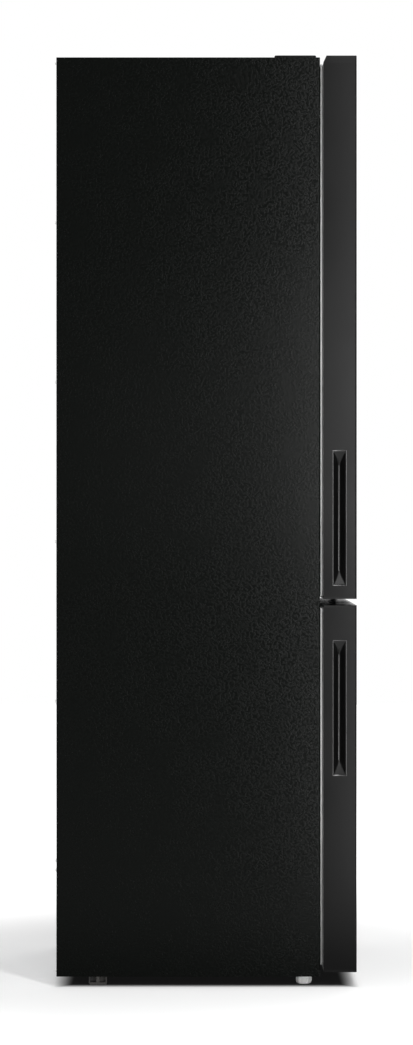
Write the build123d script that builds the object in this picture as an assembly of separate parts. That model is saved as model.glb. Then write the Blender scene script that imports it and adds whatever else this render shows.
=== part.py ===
from build123d import *
import math
import os
from collections import namedtuple

# A free-standing two-door refrigerator with its freezer below.
# X runs across the width: the grips are on the -X side and the hinges on the +X side.
# Y runs from the door fronts (-Y) to the back (+Y), Z is up from the floor, in millimetres.
# The origin is on the floor, under the middle of the whole.

# ---- overall sizes ----
WIDTH = 600.0
CABINET_DEPTH = 570.5
DOOR_GAP = 7.5              # cabinet front to the back of the doors
DOOR_THICKNESS = 72.0
FLOOR_GAP = 22.3            # floor to the underside of the cabinet
CABINET_HEIGHT = 1987.7
DOOR_RISE = 4.0             # upper door above the cabinet top
DOOR_CLEARANCE = 9.7        # lower door above the underside of the cabinet
LOWER_DOOR_HEIGHT = 793.0
DOOR_SPLIT = 14.0           # gap between the two doors

# ---- sheet, walls and clearances ----
SHEET = 0.8                 # painted steel of the cabinet
BASE_SHEET = 1.2
BACK_SHEET = 0.6
DOOR_SKIN = 0.6
LINER = 1.5                 # thermoformed plastic
COVER = 2.0                 # moulded covers
CABINET_BEND = 3.0          # outer radius of the cabinet's front edges
DOOR_BEND = 3.5
SEAM = 0.3                  # between panels that only meet, and round the foam
SLIP = 0.3                  # a slide and its runner
PIN_PLAY = 0.08             # a pin in its bore, on the radius
CUT = 1.0                   # how far a cutting shape runs past a face

# ---- cabinet ----
SIDE_FLANGE = 30.0          # steel turned in round the front opening
REAR_FLANGE = 12.0
BASE_UPSTAND = 39.7
MULLION = 64.0              # height of the steel strip between the compartments
MULLION_RETURN = 15.0
LIP = 6.0                   # liner edge above and below that strip
FRIDGE_WALL = 44.0
FRIDGE_BACK_WALL = 58.0
FREEZER_WALL = 62.0
FREEZER_BACK_WALL = 75.0
FREEZER_FLOOR = 59.7
MACHINE_DEPTH = 215.0       # compressor compartment, from the back
MACHINE_HEIGHT = 239.7
STEP_WALL = 50.0            # foam over and before that compartment
LINER_CORNER = 20.0
RIB = 8.0                   # shelf ribs on the liner
RUNNER = 12.0               # drawer runners on the liner
RIB_HEIGHT = 6.0
DUCT_DEPTH = 35.0
DUCT_HALF = 90.0
DUCT_PASSAGE = 40.0         # half width of the air passage between the compartments
DUCT_TOP_GAP = 66.0         # duct cover to the compartment's ceiling

# ---- doors ----
SEAL_INSET = 14.0
SEAL_WIDTH = 12.0
SEAL_WAIST = 7.0
SEAL_AIR = 1.3              # left before the cabinet's front
SEAL_TOP = 16.3             # upper seal below its door's top
SEAL_SPLIT = 6.0            # seals from the door edges at the split
SEAL_BOTTOM = 13.5
SKIN_FLANGE = 10.0
TOP_CAP = 15.5
EDGE_CAP = 5.0
BEVEL_DEPTH = 6.5
BEVEL_HEIGHT = 14.0
CAP_WALL = 3.0
DYKE_GAP = 11.0             # liner opening to the raised rim of the door liner
DYKE_WIDTH = 20.0
FRIDGE_DYKE = 48.0          # raised rim above the door's back
FREEZER_DYKE = 28.0
FRIDGE_FIELD = 15.0         # flat middle above the door's back
FREEZER_FIELD = 10.0
GRIP_SETBACK = 23.8         # grip behind the door's front
GRIP_WIDTH = 26.7
GRIP_HEIGHT = 290.0
GRIP_DEPTH = 27.0
GRIP_CREASE = 3.0
GRIP_RAMP = 30.0
GRIP_WALL = 1.8
GRIP_RIM = 5.0
UPPER_GRIP_RISE = 30.0      # grip above the upper door's bottom
LOWER_GRIP_DROP = 77.0      # grip below the lower door's top

# ---- hinges and screws ----
HINGE_SIDE = 24.0           # axis from the cabinet's side
HINGE_SETBACK = 26.0        # axis behind the door fronts
PIN = 5.0
PIN_REACH = 18.0            # pin inside a door
PIN_BOSS = 11.0
PIN_COLLAR = 9.0
BOSS_DEPTH = 24.0
TOP_PLATE = 3.0
TOP_ARM_GAP = 2.5           # arm above the door's top
TOP_HINGE_LENGTH = 85.0
MIDDLE_PLATE = 4.5
MIDDLE_FLANGE = 12.0
BOTTOM_PLATE = 4.0
BOTTOM_HINGE_LENGTH = 86.0
HINGE_ARM = 28.0
SCREW_HEAD = 4.2
SCREW_HEAD_HEIGHT = 2.6
SCREW_SHANK = 2.4
SCREW_LENGTH = 16.0
SCREW_HOLE = 2.6
HINGE_COVER_HEIGHT = 20.0
HINGE_COVER_LENGTH = 92.0
HINGE_COVER_WIDTH = 68.0
BLANK_COVER_HEIGHT = 5.0
BLANK_COVER_LENGTH = 90.0
BLANK_COVER_WIDTH = 58.0
BLANK_COVER_SETBACK = 8.2   # behind the cabinet's front

# ---- shelves, bins and drawers ----
GLASS = 4.0
SHELF_LIFT = 12.0           # lower two shelves above the drawers under them
SHELF_SHARES = (0.3036, 0.6224)     # upper two, as shares of the height left above those
SHELF_SIDE = 1.5
TRIM_DEPTH = 16.0
TRIM_WALL = 2.0
TRIM_PLAY = 0.1
BIN_REACH = 113.0           # bins from the door's back
BIN_WALL = 2.5
BIN_CORNER = 15.0
BIN_LEDGE = 10.0
BIN_DIP = 18.0              # lowered middle of a bin's front
BIN_DIP_INSET = 60.0
BIN_DIP_CORNER = 12.0
BIN_RISE = 14.0             # lowest bin above the flat middle's lower edge
BIN_SHARES = (0.3416, 0.6646)       # middle two, as shares of the way to the dairy bin
DAIRY_DROP = 137.0          # dairy bin below the flat middle's upper edge
BIN_HEIGHTS = (120.0, 85.0, 85.0, 78.0)
LID = 2.2
LID_FLAP = 20.0
LID_PIN = 2.5
SHELF_TO_BIN = 12.0
DRAWER_TRAVEL = 20.0        # free way behind the closed doors
DRAWER_REST_GAP = 8.0       # still free at the end of that way
DRAWER_WALL = 3.0
DRAWER_FRONT = 6.0
DRAWER_RIM = 4.0
DRAWER_CORNER = 12.0
DRAWER_PULL = 16.0          # height of the finger groove in a drawer's front
DRAWER_PULL_DROP = 14.0
DRAWER_PULL_INSET = 60.0
CRISPER = (6.0, 160.0)      # lowest and highest edge above the fridge floor
CHILL = (180.0, 300.0)
FREEZER_DRAWERS = ((10.0, 206.0), (240.0, 460.0), (480.0, 692.0))
SLIDER_TRAVEL = 30.0
SLIDER_HEIGHT = 5.4
SLIDER_WIDTH = 7.4
SLIDER_DROP = 40.0          # below the crisper's upper edge
SLIDER_THUMB = (7.0, 6.0)   # half width and half height in front
SLIDER_LEAF = (30.0, 7.0)   # half width and half height behind

# ---- cooling ----
EVAPORATOR_COVER = 65.0     # its front from the freezer's back
COIL_TUBE = 4.0
COIL_ROWS = 6
COIL_PITCH = 36.0
COIL_HALF = 176.0
COIL_RISE = 322.0           # lowest row above the freezer floor
FINS = 16
FIN = 0.8
FAN_DROP = 97.0             # fan axis below the freezer's ceiling
FAN_RADIUS = 48.0
FAN_HUB = 14.0
FAN_DEPTH = 18.0
BLADES = 5
FAN_SHAFT = 2.5
MOTOR_RADIUS = 20.0
COMPRESSOR_RADIUS = 62.0
COMPRESSOR_HEIGHT = 150.0
COMPRESSOR_DOME = 34.0
COMPRESSOR_X = 130.0
PLATE_HALF = (95.0, 55.0)
MOUNT_INSET = 13.0
MOUNT_RADIUS = 10.0
MOUNT_HEIGHT = 14.0
CONDENSER_TUBE = 2.4
CONDENSER_ROWS = 6
CONDENSER_PITCH = 32.0
CONDENSER_HALF = 120.0
CONDENSER_RISE = 40.0       # lowest row above the underside of the cabinet
CONDENSER_SETBACK = 40.0    # its rows from the back
CONDENSER_INSET = 165.0     # its middle from the cabinet's left side
STRAP = (8.0, 2.5)          # half width and thickness of its straps
TRAY_HEIGHT = 26.0

# ---- feet ----
FRONT_FOOT_RADIUS = 17.3
FRONT_FOOT_INSET = 58.0     # its middle from the cabinet's side
FRONT_FOOT_SETBACK = 33.2   # behind the cabinet's front
FOOT_CHAMFER = 4.3
FOOT_FLUTES = 8
STUD = 5.0
STUD_REACH = 22.0
REAR_FOOT_LENGTH = 39.0
REAR_FOOT_WIDTH = 30.0
REAR_FOOT_INSET = 45.0      # its middle from the cabinet's side
REAR_FOOT_SETBACK = 88.8    # its middle from the back

# ---- planes that follow from these ----
DEPTH = CABINET_DEPTH + DOOR_GAP + DOOR_THICKNESS
Y_BACK = DEPTH / 2
Y_FRONT = -DEPTH / 2
Y_CABINET = Y_BACK - CABINET_DEPTH
Y_DOOR = Y_CABINET - DOOR_GAP
Y_SHELL = Y_BACK - BACK_SHEET
X_SIDE = WIDTH / 2
X_MOUTH = X_SIDE - SIDE_FLANGE
Z_BASE = FLOOR_GAP
Z_TOP = Z_BASE + CABINET_HEIGHT
Z_LOWER = (Z_BASE + DOOR_CLEARANCE, Z_BASE + DOOR_CLEARANCE + LOWER_DOOR_HEIGHT)
Z_UPPER = (Z_LOWER[1] + DOOR_SPLIT, Z_TOP + DOOR_RISE)
Z_SPLIT = (Z_UPPER[0] + Z_LOWER[1]) / 2
Z_STRIP = (Z_SPLIT - MULLION / 2, Z_SPLIT + MULLION / 2)
Z_UPSTAND = Z_BASE + BASE_UPSTAND
Y_MACHINE = Y_BACK - MACHINE_DEPTH
Z_MACHINE = Z_BASE + MACHINE_HEIGHT
HINGE_X = X_SIDE - HINGE_SIDE
HINGE_Y = Y_FRONT + HINGE_SETBACK
FOOT_Y = Y_CABINET + FRONT_FOOT_SETBACK
FRONT_FOOT_X = X_SIDE - FRONT_FOOT_INSET
REAR_FOOT_X = X_SIDE - REAR_FOOT_INSET

# The two compartments: half width, height range and back of the clear inside.
Room = namedtuple("Room", "half z back")
FRIDGE = Room(X_SIDE - FRIDGE_WALL, (Z_STRIP[1] + LIP, Z_TOP - FRIDGE_WALL), Y_BACK - FRIDGE_BACK_WALL)
FREEZER = Room(X_SIDE - FREEZER_WALL, (Z_BASE + FREEZER_FLOOR, Z_STRIP[0] - LIP), Y_BACK - FREEZER_BACK_WALL)
Y_STEP = Y_MACHINE - STEP_WALL
Z_STEP = Z_MACHINE + STEP_WALL
Y_COVER = FREEZER.back - EVAPORATOR_COVER
Y_DUCT = FRIDGE.back - DUCT_DEPTH
Y_PASSAGE = (Y_DUCT + COVER, FREEZER.back - COVER)

# The two doors.
Door = namedtuple("Door", "z caps bevel seal room ridge field grip collars bosses")
UPPER = Door(
    z=Z_UPPER,
    caps=(EDGE_CAP, TOP_CAP),
    bevel=True,
    seal=(Z_UPPER[0] + SEAL_SPLIT, Z_UPPER[1] - SEAL_TOP),
    room=FRIDGE,
    ridge=Y_DOOR + FRIDGE_DYKE,
    field=Y_DOOR + FRIDGE_FIELD,
    grip=(Z_UPPER[0] + UPPER_GRIP_RISE, Z_UPPER[0] + UPPER_GRIP_RISE + GRIP_HEIGHT),
    collars=((DOOR_SPLIT - MIDDLE_PLATE) / 2 - SEAM, 0.0),
    bosses=(BOSS_DEPTH, BOSS_DEPTH),
)
LOWER = Door(
    z=Z_LOWER,
    caps=(EDGE_CAP, EDGE_CAP),
    bevel=False,
    seal=(Z_LOWER[0] + SEAL_BOTTOM, Z_LOWER[1] - SEAL_SPLIT),
    room=FREEZER,
    ridge=Y_DOOR + FREEZER_DYKE,
    field=Y_DOOR + FREEZER_FIELD,
    grip=(Z_LOWER[1] - LOWER_GRIP_DROP - GRIP_HEIGHT, Z_LOWER[1] - LOWER_GRIP_DROP),
    collars=(Z_LOWER[0] - Z_BASE - SEAM, 0.0),
    bosses=(BOSS_DEPTH, BOSS_DEPTH),
)

Y_BIN = Y_DOOR + BIN_REACH
Y_SHELF = Y_BIN + SHELF_TO_BIN
Y_SHELF_BACK = Y_DUCT - SHELF_SIDE
Y_CRISPER = Y_BIN + DRAWER_REST_GAP + DRAWER_TRAVEL
Y_FREEZER_DRAWER = LOWER.ridge + DRAWER_REST_GAP + DRAWER_TRAVEL
X_DYKE = FRIDGE.half - DYKE_GAP - DYKE_WIDTH
X_BIN = X_DYKE - SEAM
Z_FIELD = FRIDGE.z[0] + DYKE_GAP + DYKE_WIDTH
Z_FIELD_TOP = FRIDGE.z[1] - DYKE_GAP - DYKE_WIDTH
FRIDGE_HEIGHT = FRIDGE.z[1] - FRIDGE.z[0]
LOW_SHELVES = (CRISPER[1] + SHELF_LIFT, CHILL[1] + SHELF_LIFT)
HIGH_SHELVES = [LOW_SHELVES[1] + share * (FRIDGE_HEIGHT - LOW_SHELVES[1]) for share in SHELF_SHARES]
SHELF_RISES = (*LOW_SHELVES, *HIGH_SHELVES)     # above the compartment's floor


# ---- small makers ----
def both(half):
    """The span that reaches half to each side of the middle."""
    return (-half, half)


def span(middle, half):
    """The span that reaches half to each side of a middle."""
    return (middle - half, middle + half)


def slab(x, y, z):
    """A box between (low, high) pairs along X, Y and Z."""
    spans = (x, y, z)
    middle = [(low + high) / 2 for low, high in spans]
    return Pos(*middle) * Box(*[high - low for low, high in spans])


def rod(radius, start, end):
    """A round bar from one point to another."""
    a, b = Vector(*start), Vector(*end)
    return Plane(origin=(a + b) / 2, z_dir=b - a) * Cylinder(radius, (b - a).length)


def post(radius, at, z):
    """An upright round bar at (x, y)."""
    return rod(radius, (*at, z[0]), (*at, z[1]))


def front_bend(shape, radius):
    """The shape with its two front upright edges rounded."""
    return fillet(shape.edges().filter_by(Axis.Z).sort_by(Axis.Y)[:2], radius)


def tub(shape, radius):
    """The shape with its four edges that run front to back rounded."""
    return fillet(shape.edges().filter_by(Axis.Y), radius)


def one(shape):
    """A result that holds a single solid, as that solid."""
    solids = shape.solids()
    return solids[0] if len(solids) == 1 else shape


def group(shapes):
    """Separate solids that share one name."""
    return Compound([solid for shape in shapes for solid in shape.solids()])


# ---- screws ----
TOP_SCREWS = [
    ((HINGE_X + dx, Y_CABINET + dy, Z_TOP + TOP_PLATE), (0, 0, 1))
    for dx, dy in ((-24, 30), (10, 30), (-8, 74))
]
MIDDLE_SCREWS = [
    ((HINGE_X + dx, Y_CABINET - TOP_PLATE, Z_SPLIT), (0, -1, 0)) for dx in (-22, 18)
]
BOTTOM_SCREWS = [
    ((HINGE_X + 4, Y_CABINET + dy, Z_BASE - BOTTOM_PLATE), (0, 0, -1)) for dy in (20, 48, 76)
]
SCREWS = TOP_SCREWS + MIDDLE_SCREWS + BOTTOM_SCREWS


def screw(at, outward):
    """A pan-head screw whose head stands on the point, with a cross recess."""
    a, d = Vector(*at), Vector(*outward)
    head = rod(SCREW_HEAD, a, a + d * SCREW_HEAD_HEIGHT)
    shank = rod(SCREW_SHANK, a - d * SCREW_LENGTH, a)
    face = Plane(origin=a + d * SCREW_HEAD_HEIGHT, z_dir=d)
    cross = face * (Box(4.4, 1.0, 2.4) + Box(1.0, 4.4, 2.4))
    return one(head + shank - cross)


def drilled(shape):
    """The shape with a clear hole for each hinge screw."""
    for at, outward in SCREWS:
        a, d = Vector(*at), Vector(*outward)
        shape = shape - rod(SCREW_HOLE, a - d * (SCREW_LENGTH + CUT), a + d * CUT)
    return shape


def hinge_screws():
    return group([screw(*place) for place in SCREWS])


# ---- cabinet ----
def room_form(room, grow, front=None):
    """A compartment's clear inside, larger by grow on every wall but the front."""
    front = Y_CABINET if front is None else front
    z = (room.z[0] - grow, room.z[1] + grow)
    form = tub(slab(both(room.half + grow), (front, room.back + grow), z), LINER_CORNER + grow)
    if room is FREEZER:
        form -= slab(both(X_SIDE), (Y_STEP + grow, Y_BACK), (Z_BASE, Z_STEP - grow))
    return form


def cabinet_shell():
    outer = slab(both(X_SIDE), (Y_CABINET, Y_SHELL), (Z_BASE, Z_TOP))
    inside_y = (Y_CABINET + SHEET, Y_SHELL - SHEET)
    hollow = slab(both(X_SIDE - SHEET), inside_y, (Z_BASE - CUT, Z_TOP - SHEET))
    mouth = slab(both(X_MOUTH), (Y_CABINET - CUT, Y_CABINET + CUT), (Z_BASE - CUT, Z_TOP - SIDE_FLANGE))
    rear = slab(both(X_SIDE - REAR_FLANGE), (Y_SHELL - CUT, Y_BACK), (Z_BASE - CUT, Z_TOP - REAR_FLANGE))
    shell = front_bend(outer, CABINET_BEND) - front_bend(hollow, CABINET_BEND - SHEET)
    return one(drilled(shell - mouth - rear))


def back_panel():
    sheet = slab(both(X_SIDE - CUT), (Y_SHELL, Y_BACK), (Z_MACHINE + SEAM, Z_TOP - CUT))
    return sheet


def base_floor():
    """Floor of the cabinet, bent to clear the shell's front edges."""
    x = both(X_SIDE - SHEET - SEAM)
    floor = slab(x, (Y_CABINET + SHEET + SEAM, Y_MACHINE + BASE_SHEET), (Z_BASE, Z_BASE + BASE_SHEET))
    return front_bend(floor, CABINET_BEND)


def bottom_panel():
    x = both(X_SIDE - SHEET - SEAM)
    wall = slab(x, (Y_MACHINE, Y_MACHINE + BASE_SHEET), (Z_BASE, Z_MACHINE + BASE_SHEET))
    roof = slab(x, (Y_MACHINE, Y_SHELL - SHEET - SEAM), (Z_MACHINE, Z_MACHINE + BASE_SHEET))
    upstand = slab(both(X_MOUTH - SEAM), (Y_CABINET, Y_CABINET + BASE_SHEET), (Z_BASE, Z_UPSTAND))
    panel = base_floor() + wall + roof + upstand
    for side in (-1, 1):
        at = (side * FRONT_FOOT_X, FOOT_Y)
        panel += post(STUD + 4, at, (Z_BASE, Z_BASE + STUD_REACH))
        panel -= post(STUD + PIN_PLAY, at, (Z_BASE - CUT, Z_BASE + STUD_REACH + CUT))
    return one(drilled(panel))


def compressor_base():
    x = both(X_SIDE - SHEET - SEAM)
    y = (Y_MACHINE + BASE_SHEET + SEAM, Y_SHELL - SHEET - SEAM)
    plate = slab(x, y, (Z_BASE, Z_BASE + BASE_SHEET))
    for side in (-1, 1):
        edge = side * (X_SIDE - SHEET - SEAM)
        lip = tuple(sorted((edge, edge - side * BASE_SHEET)))
        plate += slab(lip, y, (Z_BASE, Z_BASE + 18))
    plate += slab(x, (y[0], y[0] + BASE_SHEET), (Z_BASE, Z_BASE + 18))
    for side in (-1, 1):
        plate -= post(SCREW_HOLE, (side * REAR_FOOT_X, Y_BACK - REAR_FOOT_SETBACK), (0, Z_TOP))
    return one(plate)


def cabinet_foam():
    gap = SEAM
    x = both(X_SIDE - SHEET - gap)
    y = (Y_CABINET + SHEET + gap, Y_SHELL - SHEET - gap)
    foam = front_bend(slab(x, y, (Z_BASE + BASE_SHEET + gap, Z_TOP - SHEET - gap)), CABINET_BEND)
    foam -= room_form(FRIDGE, LINER + gap, Y_CABINET - CUT)
    foam -= room_form(FREEZER, LINER + gap, Y_CABINET - CUT)
    foam -= slab(both(X_SIDE), (Y_MACHINE - gap, Y_BACK), (Z_BASE, Z_MACHINE + BASE_SHEET + gap))
    lips = (Y_CABINET - CUT, Y_CABINET + LINER + gap)
    foam -= slab(both(X_MOUTH), lips, (Z_BASE, Z_TOP - SIDE_FLANGE))
    strip = (Y_CABINET - CUT, Y_CABINET + MULLION_RETURN + gap)
    foam -= slab(both(X_MOUTH), strip, (Z_STRIP[0] - gap, Z_STRIP[1] + gap))
    foam -= slab(both(DUCT_PASSAGE), Y_PASSAGE, Z_STRIP)
    for side in (-1, 1):
        foam -= post(STUD + 5, (side * FRONT_FOOT_X, FOOT_Y), (Z_BASE, Z_BASE + STUD_REACH + 5))
    return one(drilled(foam))


def side_rails(room, width, y, top):
    """A pair of rails on a compartment's side walls, their upper face at top."""
    z = (top - RIB_HEIGHT, top)
    left = slab((-room.half - LINER / 2, -room.half + width), y, z)
    return left + mirror(left, Plane.YZ)


def liner(room, lip_z):
    """The moulded tub of a compartment, with the lip that meets the cabinet's steel."""
    lip = slab(both(X_MOUTH - SEAM), (Y_CABINET, Y_CABINET + LINER), lip_z)
    shell = lip + room_form(room, LINER)
    return shell - room_form(room, 0, Y_CABINET - CUT)


def drawer_edges(room, edges):
    """Lowest and highest edge of a drawer in a compartment."""
    return tuple(room.z[0] + edge for edge in edges)


def runner_top(room, edges):
    return drawer_edges(room, edges)[1] - DRAWER_RIM - SLIP


def fridge_liner():
    tub_shell = liner(FRIDGE, (Z_STRIP[1] + SEAM, Z_TOP - SIDE_FLANGE - SEAM))
    for rise in SHELF_RISES:
        ribs = (Y_SHELF + TRIM_DEPTH + 2, Y_SHELF_BACK - TRIM_DEPTH - 2)
        tub_shell += side_rails(FRIDGE, RIB, ribs, FRIDGE.z[0] + rise)
    for edges in (CRISPER, CHILL):
        tub_shell += side_rails(FRIDGE, RUNNER, (Y_CRISPER, Y_SHELF_BACK), runner_top(FRIDGE, edges))
    floor = (FRIDGE.z[0] - LINER - CUT, FRIDGE.z[0] + CUT)
    return one(tub_shell - slab(both(DUCT_PASSAGE), Y_PASSAGE, floor))


def drawer_back(room, edges):
    """Where a drawer ends at the back of its compartment."""
    if room is FRIDGE:
        return Y_SHELF_BACK - 5
    return Y_STEP - 10 if drawer_edges(room, edges)[0] < Z_STEP else Y_COVER - 7


def freezer_liner():
    tub_shell = liner(FREEZER, (Z_UPSTAND + SEAM, Z_STRIP[0] - SEAM))
    for edges in FREEZER_DRAWERS:
        y = (Y_FREEZER_DRAWER, drawer_back(FREEZER, edges))
        tub_shell += side_rails(FREEZER, RUNNER, y, runner_top(FREEZER, edges))
    roof = (FREEZER.z[1] - CUT, FREEZER.z[1] + LINER + CUT)
    return one(tub_shell - slab(both(DUCT_PASSAGE), Y_PASSAGE, roof))


def mullion_strip():
    x = both(X_MOUTH - SEAM)
    strip = slab(x, (Y_CABINET, Y_CABINET + SHEET), Z_STRIP)
    for edge, inward in ((Z_STRIP[0], 1), (Z_STRIP[1], -1)):
        z = tuple(sorted((edge, edge + inward * SHEET)))
        strip += slab(x, (Y_CABINET, Y_CABINET + MULLION_RETURN), z)
    return one(drilled(strip))


def rear_foot(side):
    """A flat glide with a hollow underneath its top and a hub for its screw."""
    x0, y0 = side * REAR_FOOT_X, Y_BACK - REAR_FOOT_SETBACK
    half = REAR_FOOT_LENGTH / 2
    with BuildPart() as foot:
        with BuildSketch(Plane.YZ.offset(x0 - REAR_FOOT_WIDTH / 2)):
            with BuildLine():
                Polyline(
                    (y0 - half, Z_BASE), (y0 + half, Z_BASE), (y0 + half, 4.0), (y0 + half - 3, 0.0),
                    (y0 - half + 1, 0.0), (y0 - half, 1.0), close=True,
                )
            make_face()
        extrude(amount=REAR_FOOT_WIDTH)
    shape = foot.part
    for end in (-1, 1):
        y = tuple(sorted((y0 + end * 3.5, y0 + end * (half - 2.5))))
        for flank in (-1, 1):
            x = tuple(sorted((x0 + flank * 2.0, x0 + flank * (REAR_FOOT_WIDTH / 2 + CUT))))
            shape -= slab(x, y, (5.0, Z_BASE - 4))
    return one(shape - post(SCREW_HOLE, (x0, y0), (Z_BASE - 6, Z_BASE + CUT)))


def rear_feet():
    return group([rear_foot(side) for side in (-1, 1)])


def front_foot(side):
    """A fluted foot on a threaded stud, turned by hand to level the cabinet."""
    at = (side * FRONT_FOOT_X, FOOT_Y)
    body = post(FRONT_FOOT_RADIUS, at, (0, Z_BASE - SLIP))
    body = chamfer(body.edges().group_by(Axis.Z)[0], FOOT_CHAMFER, FOOT_CHAMFER / 2)
    for i in range(FOOT_FLUTES):
        angle = math.radians(360 * (i + 0.5) / FOOT_FLUTES)
        reach = FRONT_FOOT_RADIUS + 2.2
        flute = (at[0] + reach * math.cos(angle), at[1] + reach * math.sin(angle))
        body -= post(3.6, flute, (-CUT, Z_BASE))
    return one(body + post(STUD, at, (0, Z_BASE + STUD_REACH)))


# ---- hinges and their covers ----
def arm(half, y, z):
    """A flat arm that ends round about the hinge axis."""
    bar = slab((HINGE_X - half, HINGE_X + half), (HINGE_Y, y), z)
    return bar + post(half, (HINGE_X, HINGE_Y), z)


def top_hinge():
    y0 = Y_CABINET + 6
    x = (HINGE_X - 36, HINGE_X + 16)
    z_arm = (Z_UPPER[1] + TOP_ARM_GAP, Z_UPPER[1] + TOP_ARM_GAP + TOP_PLATE)
    plate = slab(x, (y0, y0 + TOP_HINGE_LENGTH), (Z_TOP, Z_TOP + TOP_PLATE))
    riser = slab((HINGE_X - 14, HINGE_X + 14), (y0, y0 + TOP_PLATE), (Z_TOP, z_arm[1]))
    pin = post(PIN, (HINGE_X, HINGE_Y), (Z_UPPER[1] - PIN_REACH, z_arm[1]))
    return one(drilled(plate + riser + arm(HINGE_ARM / 2, y0 + TOP_PLATE, z_arm) + pin))


def middle_hinge():
    z = (Z_SPLIT - MIDDLE_PLATE / 2, Z_SPLIT + MIDDLE_PLATE / 2)
    z_flange = (Z_SPLIT - MIDDLE_FLANGE / 2, Z_SPLIT + MIDDLE_FLANGE / 2)
    flange = slab((HINGE_X - 30, X_SIDE - 1), (Y_CABINET - TOP_PLATE, Y_CABINET), z_flange)
    plate = arm(HINGE_ARM / 2 - 2, Y_CABINET - TOP_PLATE, z)
    pins = post(PIN, (HINGE_X, HINGE_Y), (Z_LOWER[1] - PIN_REACH, Z_UPPER[0] + PIN_REACH))
    return one(drilled(flange + plate + pins))


def bottom_hinge():
    z = (Z_BASE - BOTTOM_PLATE, Z_BASE)
    bar = slab((HINGE_X - 14, X_SIDE - 2), (Y_CABINET, Y_CABINET + BOTTOM_HINGE_LENGTH), z)
    pin = post(PIN, (HINGE_X, HINGE_Y), (z[0], Z_LOWER[0] + PIN_REACH))
    return one(drilled(bar + arm(HINGE_ARM / 2, Y_CABINET + CUT, z) + pin))


def hinge_cover():
    """The moulded cover over the top hinge, open below and stepped over the door."""
    x1 = X_SIDE - 2
    x = (x1 - HINGE_COVER_WIDTH, x1)
    back = Y_CABINET + HINGE_COVER_LENGTH + 4
    front = HINGE_Y - HINGE_ARM / 2 - 3
    top = Z_TOP + HINGE_COVER_HEIGHT
    cover = slab(x, (front, back), (Z_TOP, top))
    cover = fillet(cover.edges().filter_by(Axis.Z), 8)
    cover = fillet(cover.faces().sort_by(Axis.Z)[-1].edges(), 1.5)
    hollow = slab((x[0] + COVER, x[1] - COVER), (front + COVER, back - COVER), (Z_TOP - CUT, top - COVER))
    hollow = fillet(hollow.edges().filter_by(Axis.Z), 6)
    over_door = slab((x[0] - CUT, x[1] + CUT), (front - CUT, Y_CABINET + 2), (Z_TOP - CUT, Z_UPPER[1] + 1.5))
    return one(cover - hollow - over_door)


def blank_cover():
    """The flat cap over the unused hinge holes on the left."""
    x0 = -X_SIDE + 3
    y0 = Y_CABINET + BLANK_COVER_SETBACK
    z = (Z_TOP, Z_TOP + BLANK_COVER_HEIGHT)
    cap = slab((x0, x0 + BLANK_COVER_WIDTH), (y0, y0 + BLANK_COVER_LENGTH), z)
    cap = fillet(cap.edges().filter_by(Axis.Z), 6)
    return one(fillet(cap.faces().sort_by(Axis.Z)[-1].edges(), 1.5))


def top_hinge_covers():
    return group([hinge_cover(), blank_cover()])


# ---- doors ----
def door_skin(door):
    z = (door.z[0] + door.caps[0], door.z[1] - door.caps[1])
    outer = front_bend(slab(both(X_SIDE), (Y_FRONT, Y_DOOR), z), DOOR_BEND)
    past = (z[0] - CUT, z[1] + CUT)
    hollow = slab(both(X_SIDE - DOOR_SKIN), (Y_FRONT + DOOR_SKIN, Y_DOOR - DOOR_SKIN), past)
    rear = slab(both(X_SIDE - SKIN_FLANGE), (Y_DOOR - CUT, Y_DOOR + CUT), past)
    skin = outer - front_bend(hollow, DOOR_BEND - DOOR_SKIN) - rear
    return one(skin - grip_mouth(door, GRIP_WALL + SEAM))


def grip_middle(door):
    return Y_FRONT + GRIP_SETBACK + GRIP_WIDTH / 2, sum(door.grip) / 2


def grip_mouth(door, grow):
    """A straight cut through the door's side, the size of the grip's opening and grow more."""
    y, z = grip_middle(door)
    x = (-X_SIDE - CUT, -X_SIDE + DOOR_SKIN + SEAM)
    return slab(x, span(y, GRIP_WIDTH / 2 + grow), span(z, GRIP_HEIGHT / 2 + grow))


def grip_pocket(door, grow):
    """The tapered pocket: a rectangle at the side that narrows to an upright crease."""
    y, z = grip_middle(door)
    mouth = Plane(origin=(-X_SIDE, y, z), x_dir=(0, 1, 0), z_dir=(1, 0, 0))
    floor = mouth.offset(GRIP_DEPTH + grow)
    wide = mouth * Rectangle(GRIP_WIDTH + 2 * grow, GRIP_HEIGHT + 2 * grow)
    narrow = floor * Rectangle(GRIP_CREASE + 2 * grow, GRIP_HEIGHT - 2 * GRIP_RAMP + 2 * grow)
    return loft([wide.face(), narrow.face()])


def door_grip(door):
    y, z = grip_middle(door)
    x = (-X_SIDE + DOOR_SKIN + SEAM, -X_SIDE + DOOR_SKIN + SEAM + GRIP_WALL)
    rim = slab(x, span(y, GRIP_WIDTH / 2 + GRIP_RIM), span(z, GRIP_HEIGHT / 2 + GRIP_RIM))
    return one(rim + grip_pocket(door, GRIP_WALL) - grip_pocket(door, 0))


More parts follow.
